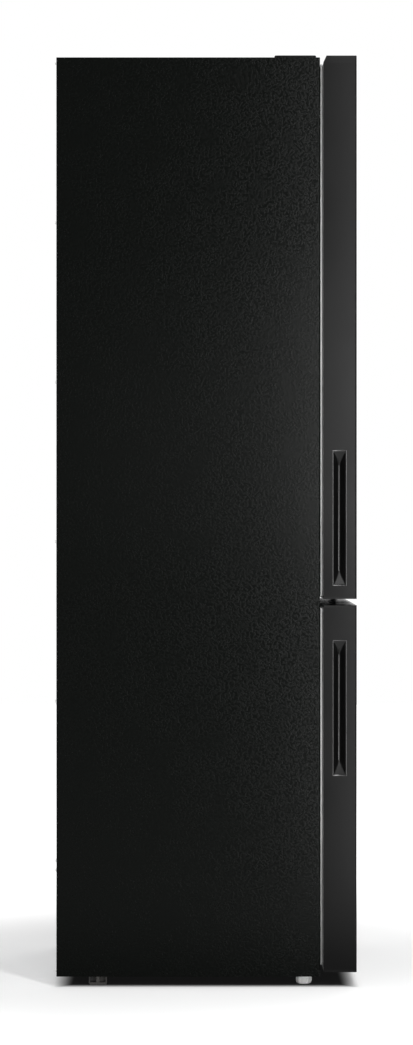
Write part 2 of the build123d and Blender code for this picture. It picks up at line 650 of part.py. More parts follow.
def door_cap(door, end):
    """The moulded cap that closes a door at its lower (0) or upper (1) end."""
    inward = 1 if end == 0 else -1
    edge, height = door.z[end], door.caps[end]
    z = tuple(sorted((edge, edge + inward * height)))
    cap = front_bend(slab(both(X_SIDE), (Y_FRONT, Y_DOOR), z), DOOR_BEND)
    if door.bevel and end == 1:
        with BuildPart() as wedge:
            with BuildSketch(Plane.YZ.offset(-X_SIDE - CUT)):
                with BuildLine():
                    Polyline(
                        (Y_DOOR + CUT, edge - BEVEL_HEIGHT), (Y_DOOR, edge - BEVEL_HEIGHT),
                        (Y_DOOR - BEVEL_DEPTH, edge), (Y_DOOR - BEVEL_DEPTH, edge + CUT),
                        (Y_DOOR + CUT, edge + CUT), close=True,
                    )
                make_face()
            extrude(amount=WIDTH + 2 * CUT)
        cap -= wedge.part
        pocket_y = (Y_FRONT + CAP_WALL, Y_DOOR - BEVEL_DEPTH - CAP_WALL)
        cap -= slab(both(X_SIDE - CAP_WALL), pocket_y, (z[0] - CUT, edge - CAP_WALL))
    axis = (HINGE_X, HINGE_Y)
    boss = sorted((edge + inward * door.bosses[end], edge))
    cap += post(PIN_BOSS, axis, tuple(boss))
    if door.collars[end]:
        cap += post(PIN_COLLAR, axis, (edge - door.collars[end], edge))
    bore = sorted((edge + inward * (PIN_REACH + CUT), edge - inward * (door.collars[end] + CUT)))
    return one(cap - post(PIN + PIN_PLAY, axis, tuple(bore)))


def end_caps(door):
    return group([door_cap(door, 0), door_cap(door, 1)])


def dyke(door, inset, front=None):
    """The raised rim of a door liner round its flat middle, inset on every side."""
    front = Y_DOOR - LINER if front is None else front
    half = door.room.half - DYKE_GAP
    z = (door.room.z[0] + DYKE_GAP, door.room.z[1] - DYKE_GAP)
    block = slab(both(half - inset), (front, door.ridge - inset), (z[0] + inset, z[1] - inset))
    block = tub(block, LINER_CORNER - inset)
    inner = DYKE_WIDTH - inset
    field_z = (z[0] + inner, z[1] - inner)
    return block - slab(both(half - inner), (door.field - inset, door.ridge + CUT), field_z)


def door_plate(door):
    x = both(X_SIDE - SKIN_FLANGE - SEAM)
    z = (door.z[0] + door.caps[0] + SEAM, door.z[1] - door.caps[1] - SEAM)
    return slab(x, (Y_DOOR - LINER, Y_DOOR), z)


def door_liner(door):
    return (door_plate(door) + dyke(door, 0)) - dyke(door, LINER, Y_DOOR - LINER - CUT)


def upper_door_liner():
    sheet = door_liner(UPPER)
    y = (UPPER.field - LINER / 2, UPPER.ridge - LINER)
    for z0, _ in bin_spans():
        left = slab((-X_DYKE - LINER / 2, -X_DYKE + BIN_LEDGE), y, (z0 - RIB_HEIGHT, z0))
        sheet += left + mirror(left, Plane.YZ)
    return one(sheet)


def lower_door_liner():
    return one(door_liner(LOWER))


def door_foam(door):
    gap = SEAM
    z = (door.z[0] + door.caps[0] + gap, door.z[1] - door.caps[1] - gap)
    y = (Y_FRONT + DOOR_SKIN + gap, Y_DOOR - LINER - gap)
    foam = front_bend(slab(both(X_SIDE - DOOR_SKIN - gap), y, z), DOOR_BEND)
    foam += dyke(door, LINER + gap, y[1] - CUT)
    foam -= grip_pocket(door, GRIP_WALL + gap)
    yc, zc = grip_middle(door)
    rim = (-X_SIDE, -X_SIDE + DOOR_SKIN + GRIP_WALL + 2 * gap)
    grown = GRIP_RIM + gap
    foam -= slab(rim, span(yc, GRIP_WIDTH / 2 + grown), span(zc, GRIP_HEIGHT / 2 + grown))
    for end, inward in ((0, 1), (1, -1)):
        edge = door.z[end]
        reach = tuple(sorted((edge, edge + inward * (door.bosses[end] + gap))))
        foam -= post(PIN_BOSS + gap, (HINGE_X, HINGE_Y), reach)
    return one(foam)


def door_gasket(door):
    """The magnetic seal: a base strip, a narrow bellows and a wide head."""
    outer_x = X_SIDE - SEAL_INSET
    layers = ((0.0, 2.0, SEAL_WIDTH), (2.0, 3.6, SEAL_WAIST), (3.6, DOOR_GAP - SEAL_AIR, SEAL_WIDTH))
    seal = None
    for y0, y1, width in layers:
        inset = (SEAL_WIDTH - width) / 2
        y = (Y_DOOR + y0, Y_DOOR + y1)
        z = (door.seal[0] + inset, door.seal[1] - inset)
        ring = slab(both(outer_x - inset), y, z)
        ring -= slab(both(outer_x - inset - width), (y[0] - CUT, y[1] + CUT), (z[0] + width, z[1] - width))
        seal = ring if seal is None else seal + ring
    return one(seal)


# ---- bins in the upper door ----
def bin_spans():
    """Height ranges of the three open bins and the dairy bin, from the lowest."""
    low = Z_FIELD + BIN_RISE
    dairy = Z_FIELD_TOP - DAIRY_DROP - BIN_HEIGHTS[-1]
    bases = [low, *(low + share * (dairy - low) for share in BIN_SHARES), dairy]
    return [(base, base + height) for base, height in zip(bases, BIN_HEIGHTS)]


def bin_tray(z):
    y = (UPPER.field + SEAM, Y_BIN)
    tray = slab(both(X_BIN), y, z)
    tray = fillet(tray.edges().filter_by(Axis.Z).sort_by(Axis.Y)[-2:], BIN_CORNER)
    inside_y = (y[0] + BIN_WALL, y[1] - BIN_WALL)
    inside = slab(both(X_BIN - BIN_WALL), inside_y, (z[0] + BIN_WALL, z[1] + CUT))
    inside = fillet(inside.edges().filter_by(Axis.Z).sort_by(Axis.Y)[-2:], BIN_CORNER - BIN_WALL)
    return tray - inside


def open_bin(index):
    """A door bin whose side towards the shelves is lower in the middle."""
    z = bin_spans()[index]
    dip_y = (Y_BIN - BIN_WALL - CUT, Y_BIN + CUT)
    dip = slab(both(X_BIN - BIN_DIP_INSET), dip_y, (z[1] - BIN_DIP, z[1] + CUT))
    dip = fillet(dip.edges().filter_by(Axis.Y).sort_by(Axis.Z)[:2], BIN_DIP_CORNER)
    return one(bin_tray(z) - dip)


EAR = 6.0                   # radius of the ears that carry the dairy lid's pins
EAR_WIDTH = 5.0
LID_DROP = EAR - CUT        # underside of the lid below its axis
LID_Z = bin_spans()[3][1] + EAR
LID_Y = UPPER.field + EAR + 4.0
X_CHEEK = X_BIN - EAR_WIDTH
X_EAR = X_CHEEK - SEAM


def dairy_bin():
    z = bin_spans()[3]
    tray = bin_tray(z)
    for side in (-1, 1):
        x = tuple(sorted((side * X_BIN, side * X_CHEEK)))
        tray += slab(x, (UPPER.field + SEAM, LID_Y + EAR), (z[0], LID_Z + EAR))
        tray += rod(LID_PIN, (side * X_CHEEK, LID_Y, LID_Z), (side * (X_EAR - EAR_WIDTH), LID_Y, LID_Z))
    return one(tray)


def dairy_lid():
    """A clear lid hinged at the back of its bin, with a flap over the bin's front."""
    z = (LID_Z - LID_DROP, LID_Z - LID_DROP + LID)
    y1 = Y_BIN + SLIP + LID
    plate = slab(both(X_EAR), (LID_Y, y1), z)
    plate += slab(both(X_EAR), (Y_BIN + SLIP, y1), (z[0] - LID_FLAP, z[1]))
    plate = fillet(plate.edges().filter_by(Axis.X).group_by(Axis.Z)[-1].sort_by(Axis.Y)[-1], 1.5)
    for side in (-1, 1):
        x = tuple(sorted((side * X_EAR, side * (X_EAR - EAR_WIDTH))))
        plate += slab(x, (LID_Y, LID_Y + 2 * EAR), (z[0], LID_Z))
        plate += rod(LID_DROP, (x[0], LID_Y, LID_Z), (x[1], LID_Y, LID_Z))
        plate -= rod(LID_PIN + PIN_PLAY, (x[0] - CUT, LID_Y, LID_Z), (x[1] + CUT, LID_Y, LID_Z))
    return one(plate)


# ---- shelves and drawers ----
def shelf_glass(rise):
    z0 = FRIDGE.z[0] + rise
    y = (Y_SHELF + TRIM_WALL + TRIM_PLAY, Y_SHELF_BACK - TRIM_WALL - TRIM_PLAY)
    return slab(both(FRIDGE.half - SHELF_SIDE), y, (z0, z0 + GLASS))


def shelf_trim(rise, front):
    """The channel that holds a glass shelf's front or rear edge."""
    z0 = FRIDGE.z[0] + rise
    y = (Y_SHELF, Y_SHELF + TRIM_DEPTH) if front else (Y_SHELF_BACK - TRIM_DEPTH, Y_SHELF_BACK)
    height = (z0 - TRIM_WALL - TRIM_PLAY, z0 + GLASS + TRIM_WALL + TRIM_PLAY)
    bar = slab(both(FRIDGE.half - SHELF_SIDE), y, height)
    slot_y = (y[0] + TRIM_WALL, y[1] + CUT) if front else (y[0] - CUT, y[1] - TRIM_WALL)
    slot = slab(both(FRIDGE.half), slot_y, (z0 - TRIM_PLAY, z0 + GLASS + TRIM_PLAY))
    return bar - slot


def shelf_trims():
    return group([shelf_trim(rise, front) for rise in SHELF_RISES for front in (True, False)])


def drawer(room, edges, front_y):
    """An open box whose side rims ride on the liner's runners, with a thicker front."""
    z = drawer_edges(room, edges)
    y = (front_y, drawer_back(room, edges))
    half = room.half - RUNNER - SLIP - 1
    rim_half = room.half - SHELF_SIDE
    box = slab(both(half), y, z)
    box = fillet(box.edges().filter_by(Axis.Y).group_by(Axis.Z)[0], DRAWER_CORNER)
    box += slab(both(rim_half), y, (z[1] - DRAWER_RIM, z[1]))
    inside_y = (y[0] + DRAWER_FRONT, y[1] - DRAWER_WALL)
    inside = slab(both(half - DRAWER_WALL), inside_y, (z[0] + DRAWER_WALL, z[1] + CUT))
    low = inside.edges().filter_by(Axis.Y).group_by(Axis.Z)[0]
    box -= fillet(low, DRAWER_CORNER - DRAWER_WALL)
    pull_z = (z[1] - DRAWER_PULL_DROP - DRAWER_PULL, z[1] - DRAWER_PULL_DROP)
    pull = slab(both(half - DRAWER_PULL_INSET), (y[0] - CUT, y[0] + DRAWER_FRONT / 2), pull_z)
    return box - fillet(pull.edges().filter_by(Axis.Y), DRAWER_PULL / 3)


SLOT_Z = drawer_edges(FRIDGE, CRISPER)[1] - SLIDER_DROP
SLOT_HALF = (SLIDER_TRAVEL + SLIDER_WIDTH) / 2 + SEAM


def crisper_drawer():
    y = (Y_CRISPER - CUT, Y_CRISPER + DRAWER_FRONT + CUT)
    slot = slab(both(SLOT_HALF), y, span(SLOT_Z, SLIDER_HEIGHT / 2 + SEAM))
    return one(drawer(FRIDGE, CRISPER, Y_CRISPER) - slot)


def chill_drawer():
    return one(drawer(FRIDGE, CHILL, Y_CRISPER))


def freezer_drawer(index):
    return one(drawer(FREEZER, FREEZER_DRAWERS[index], Y_FREEZER_DRAWER))


def humidity_slider():
    """A thumb piece in front of the slot, its stem, and the leaf behind that it moves."""
    middle = -SLIDER_TRAVEL / 2
    front, back = Y_CRISPER - SEAM, Y_CRISPER + DRAWER_FRONT + SEAM
    stem = slab(span(middle, SLIDER_WIDTH / 2), (front, back), span(SLOT_Z, SLIDER_HEIGHT / 2))
    thumb = slab(span(middle, SLIDER_THUMB[0]), (front - 3, front), span(SLOT_Z, SLIDER_THUMB[1]))
    thumb = fillet(thumb.edges().filter_by(Axis.Y), SLIDER_THUMB[1] / 2)
    leaf = slab(span(middle, SLIDER_LEAF[0]), (back, back + LINER), span(SLOT_Z, SLIDER_LEAF[1]))
    return one(stem + thumb + leaf)


# ---- controls and lamps ----
PANEL_HALF = 110.0
PANEL_HEIGHT = 28.0
PANEL_Y = (Y_SHELF + 10, Y_SHELF + 90)
BUTTON = (16.0, 10.0)
BUTTON_PROUD = 1.8
BUTTON_X = 40.0
LAMP_X = (130.0, 210.0)
LAMP_SETBACK = 35.0         # lamp's middle behind the panel's front
LAMP_HALF = 15.0
LAMP_DROP = 8.0
BUTTON_Z = FRIDGE.z[1] - PANEL_HEIGHT / 2


def control_panel():
    z = (FRIDGE.z[1] - PANEL_HEIGHT, FRIDGE.z[1])
    panel = slab(both(PANEL_HALF), PANEL_Y, z)
    panel = fillet(panel.edges().filter_by(Axis.X).group_by(Axis.Z)[0].sort_by(Axis.Y)[0], COVER)
    inside_y = (PANEL_Y[0] + COVER, PANEL_Y[1] - COVER)
    panel -= slab(both(PANEL_HALF - COVER), inside_y, (z[0] + COVER, z[1] + CUT))
    for side in (-1, 1):
        x = span(side * BUTTON_X, BUTTON[0] / 2 + SEAM)
        face = (PANEL_Y[0] - CUT, PANEL_Y[0] + COVER + CUT)
        panel -= slab(x, face, span(BUTTON_Z, BUTTON[1] / 2 + SEAM))
    return one(panel)


def push_button(side):
    """A cap that stands proud of the panel, with a flange behind that keeps it in."""
    x = span(side * BUTTON_X, BUTTON[0] / 2)
    z = span(BUTTON_Z, BUTTON[1] / 2)
    cap = slab(x, (PANEL_Y[0] - BUTTON_PROUD, PANEL_Y[0] + COVER + 3), z)
    cap = fillet(cap.faces().sort_by(Axis.Y)[0].edges(), 0.6)
    flange_y = (PANEL_Y[0] + COVER + SEAM, PANEL_Y[0] + COVER + SEAM + 1.6)
    return one(cap + slab((x[0] - 2, x[1] + 2), flange_y, (z[0] - 2, z[1] + 2)))


def led_lamps():
    lamps = []
    for side in (-1, 1):
        x = tuple(sorted((side * LAMP_X[0], side * LAMP_X[1])))
        y = span(PANEL_Y[0] + LAMP_SETBACK, LAMP_HALF)
        lamp = slab(x, y, (FRIDGE.z[1] - LAMP_DROP, FRIDGE.z[1]))
        lamps.append(fillet(lamp.faces().sort_by(Axis.Z)[0].edges(), 2.5))
    return group(lamps)


# ---- air ----
DAMPER_Z = FRIDGE.z[0] + 100.0
DAMPER_Y = Y_DUCT + COVER + (DUCT_DEPTH - COVER) / 2
DAMPER_HALF = 14.0
DAMPER_THICK = 2.4
DAMPER_PIN = 2.0
OUTLET_X = (15.0, 60.0)
OUTLET_RISE = 120.0         # above the shelf below it
OUTLET_HALF = 6.0


def air_duct_cover():
    """The channel up the fridge's back wall, open at the wall and the floor, with outlets."""
    z = (FRIDGE.z[0] + SEAM, FRIDGE.z[1] - DUCT_TOP_GAP)
    duct = slab(both(DUCT_HALF), (Y_DUCT, FRIDGE.back), z)
    duct -= slab(both(DUCT_HALF - COVER), (Y_DUCT + COVER, FRIDGE.back + CUT), (z[0] - CUT, z[1] - COVER))
    for rise in SHELF_RISES[1:]:
        for side in (-1, 1):
            x = tuple(sorted((side * OUTLET_X[0], side * OUTLET_X[1])))
            z_outlet = span(FRIDGE.z[0] + rise + OUTLET_RISE, OUTLET_HALF)
            duct -= slab(x, (Y_DUCT - CUT, Y_DUCT + COVER + CUT), z_outlet)
    for side in (-1, 1):
        wall = (side * (DUCT_HALF - COVER - CUT), DAMPER_Y, DAMPER_Z)
        duct -= rod(DAMPER_PIN + PIN_PLAY, wall, (side * (DUCT_HALF + CUT), DAMPER_Y, DAMPER_Z))
    return one(duct)


def damper_flap():
    """The flap that lets cold air up the duct, on two short pins."""
    half_x = DUCT_HALF - COVER - 2
    flap = slab(both(half_x), span(DAMPER_Y, DAMPER_HALF), span(DAMPER_Z, DAMPER_THICK / 2))
    axle = rod(DAMPER_PIN, (-DUCT_HALF, DAMPER_Y, DAMPER_Z), (DUCT_HALF, DAMPER_Y, DAMPER_Z))
    return one(flap + axle)


FAN_Z = FREEZER.z[1] - FAN_DROP
FAN_Y = (Y_COVER + 20, Y_COVER + 20 + FAN_DEPTH)


def evaporator_cover():
    """The freezer's inner back panel, with a fan opening and outlet slots."""
    x = FREEZER.half - 3
    z = (Z_STEP + SEAM, FREEZER.z[1] - 4)
    panel = slab(both(x), (Y_COVER, Y_COVER + 20), z)
    hollow = slab(both(x - COVER), (Y_COVER + COVER, Y_COVER + 20 + CUT), (z[0] + COVER, z[1] - COVER))
    panel = fillet(panel.edges().filter_by(Axis.Y).group_by(Axis.Z)[-1], LINER_CORNER)
    panel -= fillet(hollow.edges().filter_by(Axis.Y).group_by(Axis.Z)[-1], LINER_CORNER - COVER)
    ring = rod(FAN_RADIUS + 8, (0, Y_COVER - CUT, FAN_Z), (0, Y_COVER + COVER + CUT, FAN_Z))
    for level in range(-5, 6):
        z_bar = FAN_Z + level * 10
        ring -= slab(both(FAN_RADIUS + 9), (Y_COVER - CUT, Y_COVER + COVER + CUT), (z_bar - 2, z_bar + 2))
    panel -= ring
    for level in range(3):
        z_slot = z[0] + 40 + level * 90
        for side in (-1, 1):
            slot_x = tuple(sorted((side * 60, side * 180)))
            panel -= slab(slot_x, (Y_COVER - CUT, Y_COVER + COVER + CUT), (z_slot, z_slot + 8))
    return one(panel)


def serpentine(rows, pitch, half, middle_x, y, z0, radius):
    """A tube that runs to and fro across X and climbs by pitch at each turn."""
    points = []
    for row in range(rows):
        ends = (-half, half) if row % 2 == 0 else (half, -half)
        points += [(middle_x + end, y, z0 + row * pitch) for end in ends]
    path = FilletPolyline(*points, radius=pitch * 0.45)
    start = Plane(origin=points[0], z_dir=(1, 0, 0))
    return sweep(start * Circle(radius), path=path)


def evaporator_coil():
    y = FREEZER.back - EVAPORATOR_COVER / 2 + 6
    z0 = FREEZER.z[0] + COIL_RISE
    coil = serpentine(COIL_ROWS, COIL_PITCH, COIL_HALF, 0, y, z0, COIL_TUBE)
    z = (z0 - 12, z0 + (COIL_ROWS - 1) * COIL_PITCH + 12)
    reach = COIL_HALF - COIL_PITCH / 2 - 8
    for i in range(FINS):
        x = -reach + 2 * reach * i / (FINS - 1)
        end = i in (0, FINS - 1)
        y_fin = (y - 14, FREEZER.back - SEAM if end else y + 14)
        coil += slab((x - FIN / 2, x + FIN / 2), y_fin, z)
    return one(coil)


def fan_motor():
    plate_y = FREEZER.back - SEAM
    body = rod(MOTOR_RADIUS, (0, FAN_Y[1] + 3, FAN_Z), (0, plate_y - 2, FAN_Z))
    plate = slab(both(45), (plate_y - 3, plate_y), (FAN_Z - 11, FAN_Z + 11))
    shaft = rod(FAN_SHAFT, (0, FAN_Y[0] + 4, FAN_Z), (0, FAN_Y[1] + 4, FAN_Z))
    return one(body + fillet(plate.edges().filter_by(Axis.Y), 5) + shaft)


def evaporator_fan():
    middle = (FAN_Y[0] + FAN_Y[1]) / 2
    fan = rod(FAN_HUB, (0, FAN_Y[0], FAN_Z), (0, FAN_Y[1], FAN_Z))
    for i in range(BLADES):
        blade = Pos(0, 0, (FAN_HUB + FAN_RADIUS) / 2) * Rot(0, 0, 30) * Box(26, 1.8, FAN_RADIUS - FAN_HUB + 4)
        fan += Pos(0, middle, FAN_Z) * Rot(0, 360 * i / BLADES, 0) * blade
    bore = rod(FAN_SHAFT + PIN_PLAY, (0, FAN_Y[0] + 3, FAN_Z), (0, FAN_Y[1] + CUT, FAN_Z))
    return one(fan - bore)


# ---- compressor compartment ----
MACHINE_Y = (Y_MACHINE + Y_BACK) / 2
PLATE_Z = Z_BASE + BASE_SHEET + MOUNT_HEIGHT
COMPRESSOR_TOP = PLATE_Z + BASE_SHEET + COMPRESSOR_HEIGHT


def compressor():
    """A domed steel shell with its weld seam, pipe stub and start box, on a foot plate."""
    at = (COMPRESSOR_X, MACHINE_Y)
    base = slab(span(at[0], PLATE_HALF[0]), span(at[1], PLATE_HALF[1]), (PLATE_Z, PLATE_Z + 2))
    base = fillet(base.edges().filter_by(Axis.Z), 12)
    shell = post(COMPRESSOR_RADIUS, at, (PLATE_Z + 1, COMPRESSOR_TOP))
    shell = fillet(shell.edges().group_by(Axis.Z)[-1], COMPRESSOR_DOME)
    shell = fillet(shell.edges().group_by(Axis.Z)[0], COMPRESSOR_DOME / 2)
    seam = post(COMPRESSOR_RADIUS + 3, at, span(COMPRESSOR_TOP - 2 * COMPRESSOR_DOME, 2))
    wall = COMPRESSOR_RADIUS
    z_box = COMPRESSOR_TOP - COMPRESSOR_HEIGHT / 2
    z_stub = z_box - 18
    stub = rod(5, (at[0] - wall + 8, at[1], z_stub), (at[0] - wall - 22, at[1], z_stub))
    box = slab((at[0] + wall - 22, at[0] + wall + 22), span(at[1], 24), span(z_box, 26))
    return one(base + shell + seam + stub + fillet(box.edges().filter_by(Axis.X), 5))


def compressor_mounts():
    mounts = []
    for dx in both(PLATE_HALF[0] - MOUNT_INSET):
        for dy in both(PLATE_HALF[1] - MOUNT_INSET):
            at = (COMPRESSOR_X + dx, MACHINE_Y + dy)
            grommet = post(MOUNT_RADIUS, at, (Z_BASE + BASE_SHEET, PLATE_Z))
            band = span(PLATE_Z - MOUNT_HEIGHT / 2, 2)
            waist = post(MOUNT_RADIUS + 2, at, band) - post(MOUNT_RADIUS - 2.5, at, band)
            mounts.append(grommet - waist)
    return group(mounts)


def drip_tray():
    z = (COMPRESSOR_TOP, COMPRESSOR_TOP + TRAY_HEIGHT)
    x = (COMPRESSOR_X - 85, COMPRESSOR_X + 85)
    y = (MACHINE_Y - 70, MACHINE_Y + 70)
    tray = fillet(slab(x, y, z).edges().filter_by(Axis.Z), 14)
    inside = slab((x[0] + COVER, x[1] - COVER), (y[0] + COVER, y[1] - COVER), (z[0] + COVER, z[1] + CUT))
    return one(tray - fillet(inside.edges().filter_by(Axis.Z), 12))


def condenser_coil():
    """The hot tube in the compressor compartment, on two upright straps."""
    y = Y_SHELL - CONDENSER_SETBACK
    z0 = Z_BASE + CONDENSER_RISE
    middle = -X_SIDE + CONDENSER_INSET
    coil = serpentine(CONDENSER_ROWS, CONDENSER_PITCH, CONDENSER_HALF, middle, y, z0, CONDENSER_TUBE)
    top = z0 + (CONDENSER_ROWS - 1) * CONDENSER_PITCH + 6
    for side in both(CONDENSER_HALF / 2):
        strap_y = (y + 1, y + 1 + STRAP[1])
        coil += slab(span(middle + side, STRAP[0]), strap_y, (Z_BASE + BASE_SHEET, top))
    return one(coil)


INLET_INSET = 60.0          # socket from the cabinet's left side, and below the compartment's top
INLET = (-X_SIDE + INLET_INSET, Z_MACHINE - INLET_INSET)
INLET_SIZE = (30.0, 22.0)
INLET_DEPTH = 18.0
INLET_PINS = ((-7.0, -1.0), (0.0, 3.0), (7.0, -1.0))
VENT = (7.0, 74.0)          # width and height of a slot in the rear cover
VENT_PITCH = (32.0, 96.0)
VENT_COUNT = (13, 2)
VENT_START = (-130.0, 30.0)     # first slot's middle, and its lower end above the cover's


def rear_cover():
    """The perforated sheet over the compressor compartment."""
    z = (Z_BASE + 2, Z_MACHINE - SEAM)
    sheet = slab(both(X_SIDE - CUT), (Y_SHELL, Y_BACK), z)
    for row in range(VENT_COUNT[1]):
        for column in range(VENT_COUNT[0]):
            x = VENT_START[0] + column * VENT_PITCH[0]
            z0 = z[0] + VENT_START[1] + row * VENT_PITCH[1]
            sheet -= slab(span(x, VENT[0] / 2), (Y_SHELL - CUT, Y_BACK + CUT), (z0, z0 + VENT[1]))
    half_x, half_z = INLET_SIZE[0] / 2 + SEAM, INLET_SIZE[1] / 2 + SEAM
    past = (Y_SHELL - CUT, Y_BACK + CUT)
    return one(sheet - slab(span(INLET[0], half_x), past, span(INLET[1], half_z)))


def mains_inlet():
    """A recessed three-pin socket for a detachable lead."""
    x, z = INLET
    w, h = INLET_SIZE[0] / 2, INLET_SIZE[1] / 2
    floor = Y_BACK - INLET_DEPTH
    body = slab(span(x, w), (floor - 6, Y_BACK), span(z, h))
    flange = slab(span(x, w + 5), (Y_SHELL - 2.5, Y_SHELL), span(z, h + 5))
    shape = body + flange - slab(span(x, w - 3), (floor, Y_BACK + CUT), span(z, h - 3))
    for dx, dz in INLET_PINS:
        shape += slab(span(x + dx, 1), (floor - 2, Y_BACK - 3), span(z + dz, 2))
    return one(shape)


PARTS = {
    "cabinet_shell": cabinet_shell,
    "back_panel": back_panel,
    "bottom_panel": bottom_panel,
    "compressor_base": compressor_base,
    "cabinet_foam": cabinet_foam,
    "fridge_liner": fridge_liner,
    "freezer_liner": freezer_liner,
    "mullion_strip": mullion_strip,
    "top_hinge": top_hinge,
    "middle_hinge": middle_hinge,
    "bottom_hinge": bottom_hinge,
    "top_hinge_covers": top_hinge_covers,
    "hinge_screws": hinge_screws,
    "control_panel": control_panel,
    "led_lamps": led_lamps,
    "air_duct_cover": air_duct_cover,
    "shelf_trims": shelf_trims,
    "evaporator_cover": evaporator_cover,
    "evaporator_coil": evaporator_coil,
    "fan_motor": fan_motor,
    "compressor": compressor,
    "compressor_mounts": compressor_mounts,
    "drip_tray": drip_tray,
    "condenser_coil": condenser_coil,
    "rear_cover": rear_cover,
    "mains_inlet": mains_inlet,
    "rear_feet": rear_feet,
    "cooling_button": lambda: push_button(-1),
    "freezing_button": lambda: push_button(1),
    "humidity_slider": humidity_slider,
    "crisper_drawer": crisper_drawer,
    "chill_drawer": chill_drawer,
    "freezer_drawer_bottom": lambda: freezer_drawer(0),
    "freezer_drawer_middle": lambda: freezer_drawer(1),
    "freezer_drawer_top": lambda: freezer_drawer(2),
    "evaporator_fan": evaporator_fan,
    "damper_flap": damper_flap,
    "front_foot_left": lambda: front_foot(-1),
    "front_foot_right": lambda: front_foot(1),
    "upper_door_liner": upper_door_liner,
    "lower_door_liner": lower_door_liner,
    "bottle_bin": lambda: open_bin(0),
    "door_bin_lower": lambda: open_bin(1),
    "door_bin_upper": lambda: open_bin(2),
    "dairy_bin": dairy_bin,
    "dairy_lid": dairy_lid,
}
for number, shelf_rise in enumerate(SHELF_RISES, 1):
    PARTS[f"shelf_glass_{number}"] = lambda rise=shelf_rise: shelf_glass(rise)
for label, the_door in (("upper_door", UPPER), ("lower_door", LOWER)):
    PARTS[f"{label}_skin"] = lambda door=the_door: door_skin(door)
    PARTS[f"{label}_foam"] = lambda door=the_door: door_foam(door)
    PARTS[f"{label}_end_caps"] = lambda door=the_door: end_caps(door)
    PARTS[f"{label}_gasket"] = lambda door=the_door: door_gasket(door)
    PARTS[f"{label}_grip"] = lambda door=the_door: door_grip(door)


os.makedirs("parts", exist_ok=True)
for name, make in PARTS.items():
    export_step(make(), f"parts/{name}.step")
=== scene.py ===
"""A tall refrigerator with its freezer below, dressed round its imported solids.

Everything is in metres in the part's own frame: X to the right, the doors towards -Y, Z up from the floor.
"""
import math

import bmesh
import bpy
from mathutils import Matrix, Vector


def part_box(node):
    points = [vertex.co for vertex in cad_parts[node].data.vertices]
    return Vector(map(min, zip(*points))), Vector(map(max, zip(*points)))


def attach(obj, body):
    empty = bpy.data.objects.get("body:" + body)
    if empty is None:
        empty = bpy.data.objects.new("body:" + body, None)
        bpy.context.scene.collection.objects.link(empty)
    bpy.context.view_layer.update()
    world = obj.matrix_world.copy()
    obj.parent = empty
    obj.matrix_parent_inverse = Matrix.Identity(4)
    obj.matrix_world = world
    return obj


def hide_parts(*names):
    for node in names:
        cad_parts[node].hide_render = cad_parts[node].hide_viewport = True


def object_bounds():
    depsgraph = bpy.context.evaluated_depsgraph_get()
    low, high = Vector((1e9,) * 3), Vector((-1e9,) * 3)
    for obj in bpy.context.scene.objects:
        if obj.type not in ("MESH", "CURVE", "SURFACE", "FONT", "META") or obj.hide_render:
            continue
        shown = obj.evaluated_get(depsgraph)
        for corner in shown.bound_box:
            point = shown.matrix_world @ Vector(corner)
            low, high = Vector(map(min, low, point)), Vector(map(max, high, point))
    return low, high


bl_info = {
    "name": "Bottom freezer refrigerator",
    "version": (1, 0, 0),
    "blender": (4, 5, 0),
    "location": "3D View > Sidebar > Refrigerator",
    "description": "Dresses the solids of a bottom freezer refrigerator and sets up a plain stage",
    "category": "Object",
}

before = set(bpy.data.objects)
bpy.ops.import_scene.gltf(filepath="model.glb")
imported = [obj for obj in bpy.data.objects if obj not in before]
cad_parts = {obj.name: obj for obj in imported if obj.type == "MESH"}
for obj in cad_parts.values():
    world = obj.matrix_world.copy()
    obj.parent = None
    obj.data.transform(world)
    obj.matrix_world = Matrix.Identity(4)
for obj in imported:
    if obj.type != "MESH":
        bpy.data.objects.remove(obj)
CAD_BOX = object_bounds()
MM = 0.001


# ---- sizes and colours that a user would change ----
def colour(name, description, default):
    """A colour setting, in linear light."""
    return bpy.props.FloatVectorProperty(
        name=name, description=description, default=default, size=3, min=0, max=1, subtype="COLOR"
    )


def length(name, description, default):
    """A length setting, in metres."""
    return bpy.props.FloatProperty(
        name=name, description=description, default=default, min=0, subtype="DISTANCE", unit="LENGTH"
    )


def share(name, description, default):
    """A setting from 0 to 1."""
    return bpy.props.FloatProperty(
        name=name, description=description, default=default, min=0, max=1, subtype="FACTOR"
    )


class FridgeColours(bpy.types.PropertyGroup):
    """Colours of the finishes, in linear light."""

    cabinet: colour("Cabinet", "Painted, embossed steel of the cabinet", (0.0007, 0.0012, 0.0008))
    doors: colour("Doors", "Painted smooth steel of the doors", (0.004, 0.004, 0.004))
    caps: colour("End caps", "Moulded caps and grips of the doors", (0.004, 0.004, 0.004))
    seals: colour("Seals", "Magnetic seals of the doors", (0.46, 0.46, 0.455))
    liner: colour("Liner", "Moulded lining of the compartments", (0.78, 0.79, 0.79))
    clear: colour("Clear plastic", "Drawers and door bins", (0.945, 0.96, 0.965))
    glass: colour("Glass", "Shelves", (0.84, 0.93, 0.90))
    feet: colour("Front feet", "Moulded levelling feet", (0.95, 0.95, 0.94))


class FridgeSizes(bpy.types.PropertyGroup):
    """Sizes of the pieces that the dressing adds."""

    screw_radius: length("Screw flange", "Radius of the flange of a sheet metal screw", 4.6 * MM)
    screw_height: length("Screw height", "Height of the head of a sheet metal screw", 3.0 * MM)
    emboss_pitch: length("Emboss pitch", "Size of the bumps in the cabinet's steel", 5.0 * MM)
    emboss_depth: length("Emboss depth", "Height of the bumps in the cabinet's steel", 0.10 * MM)


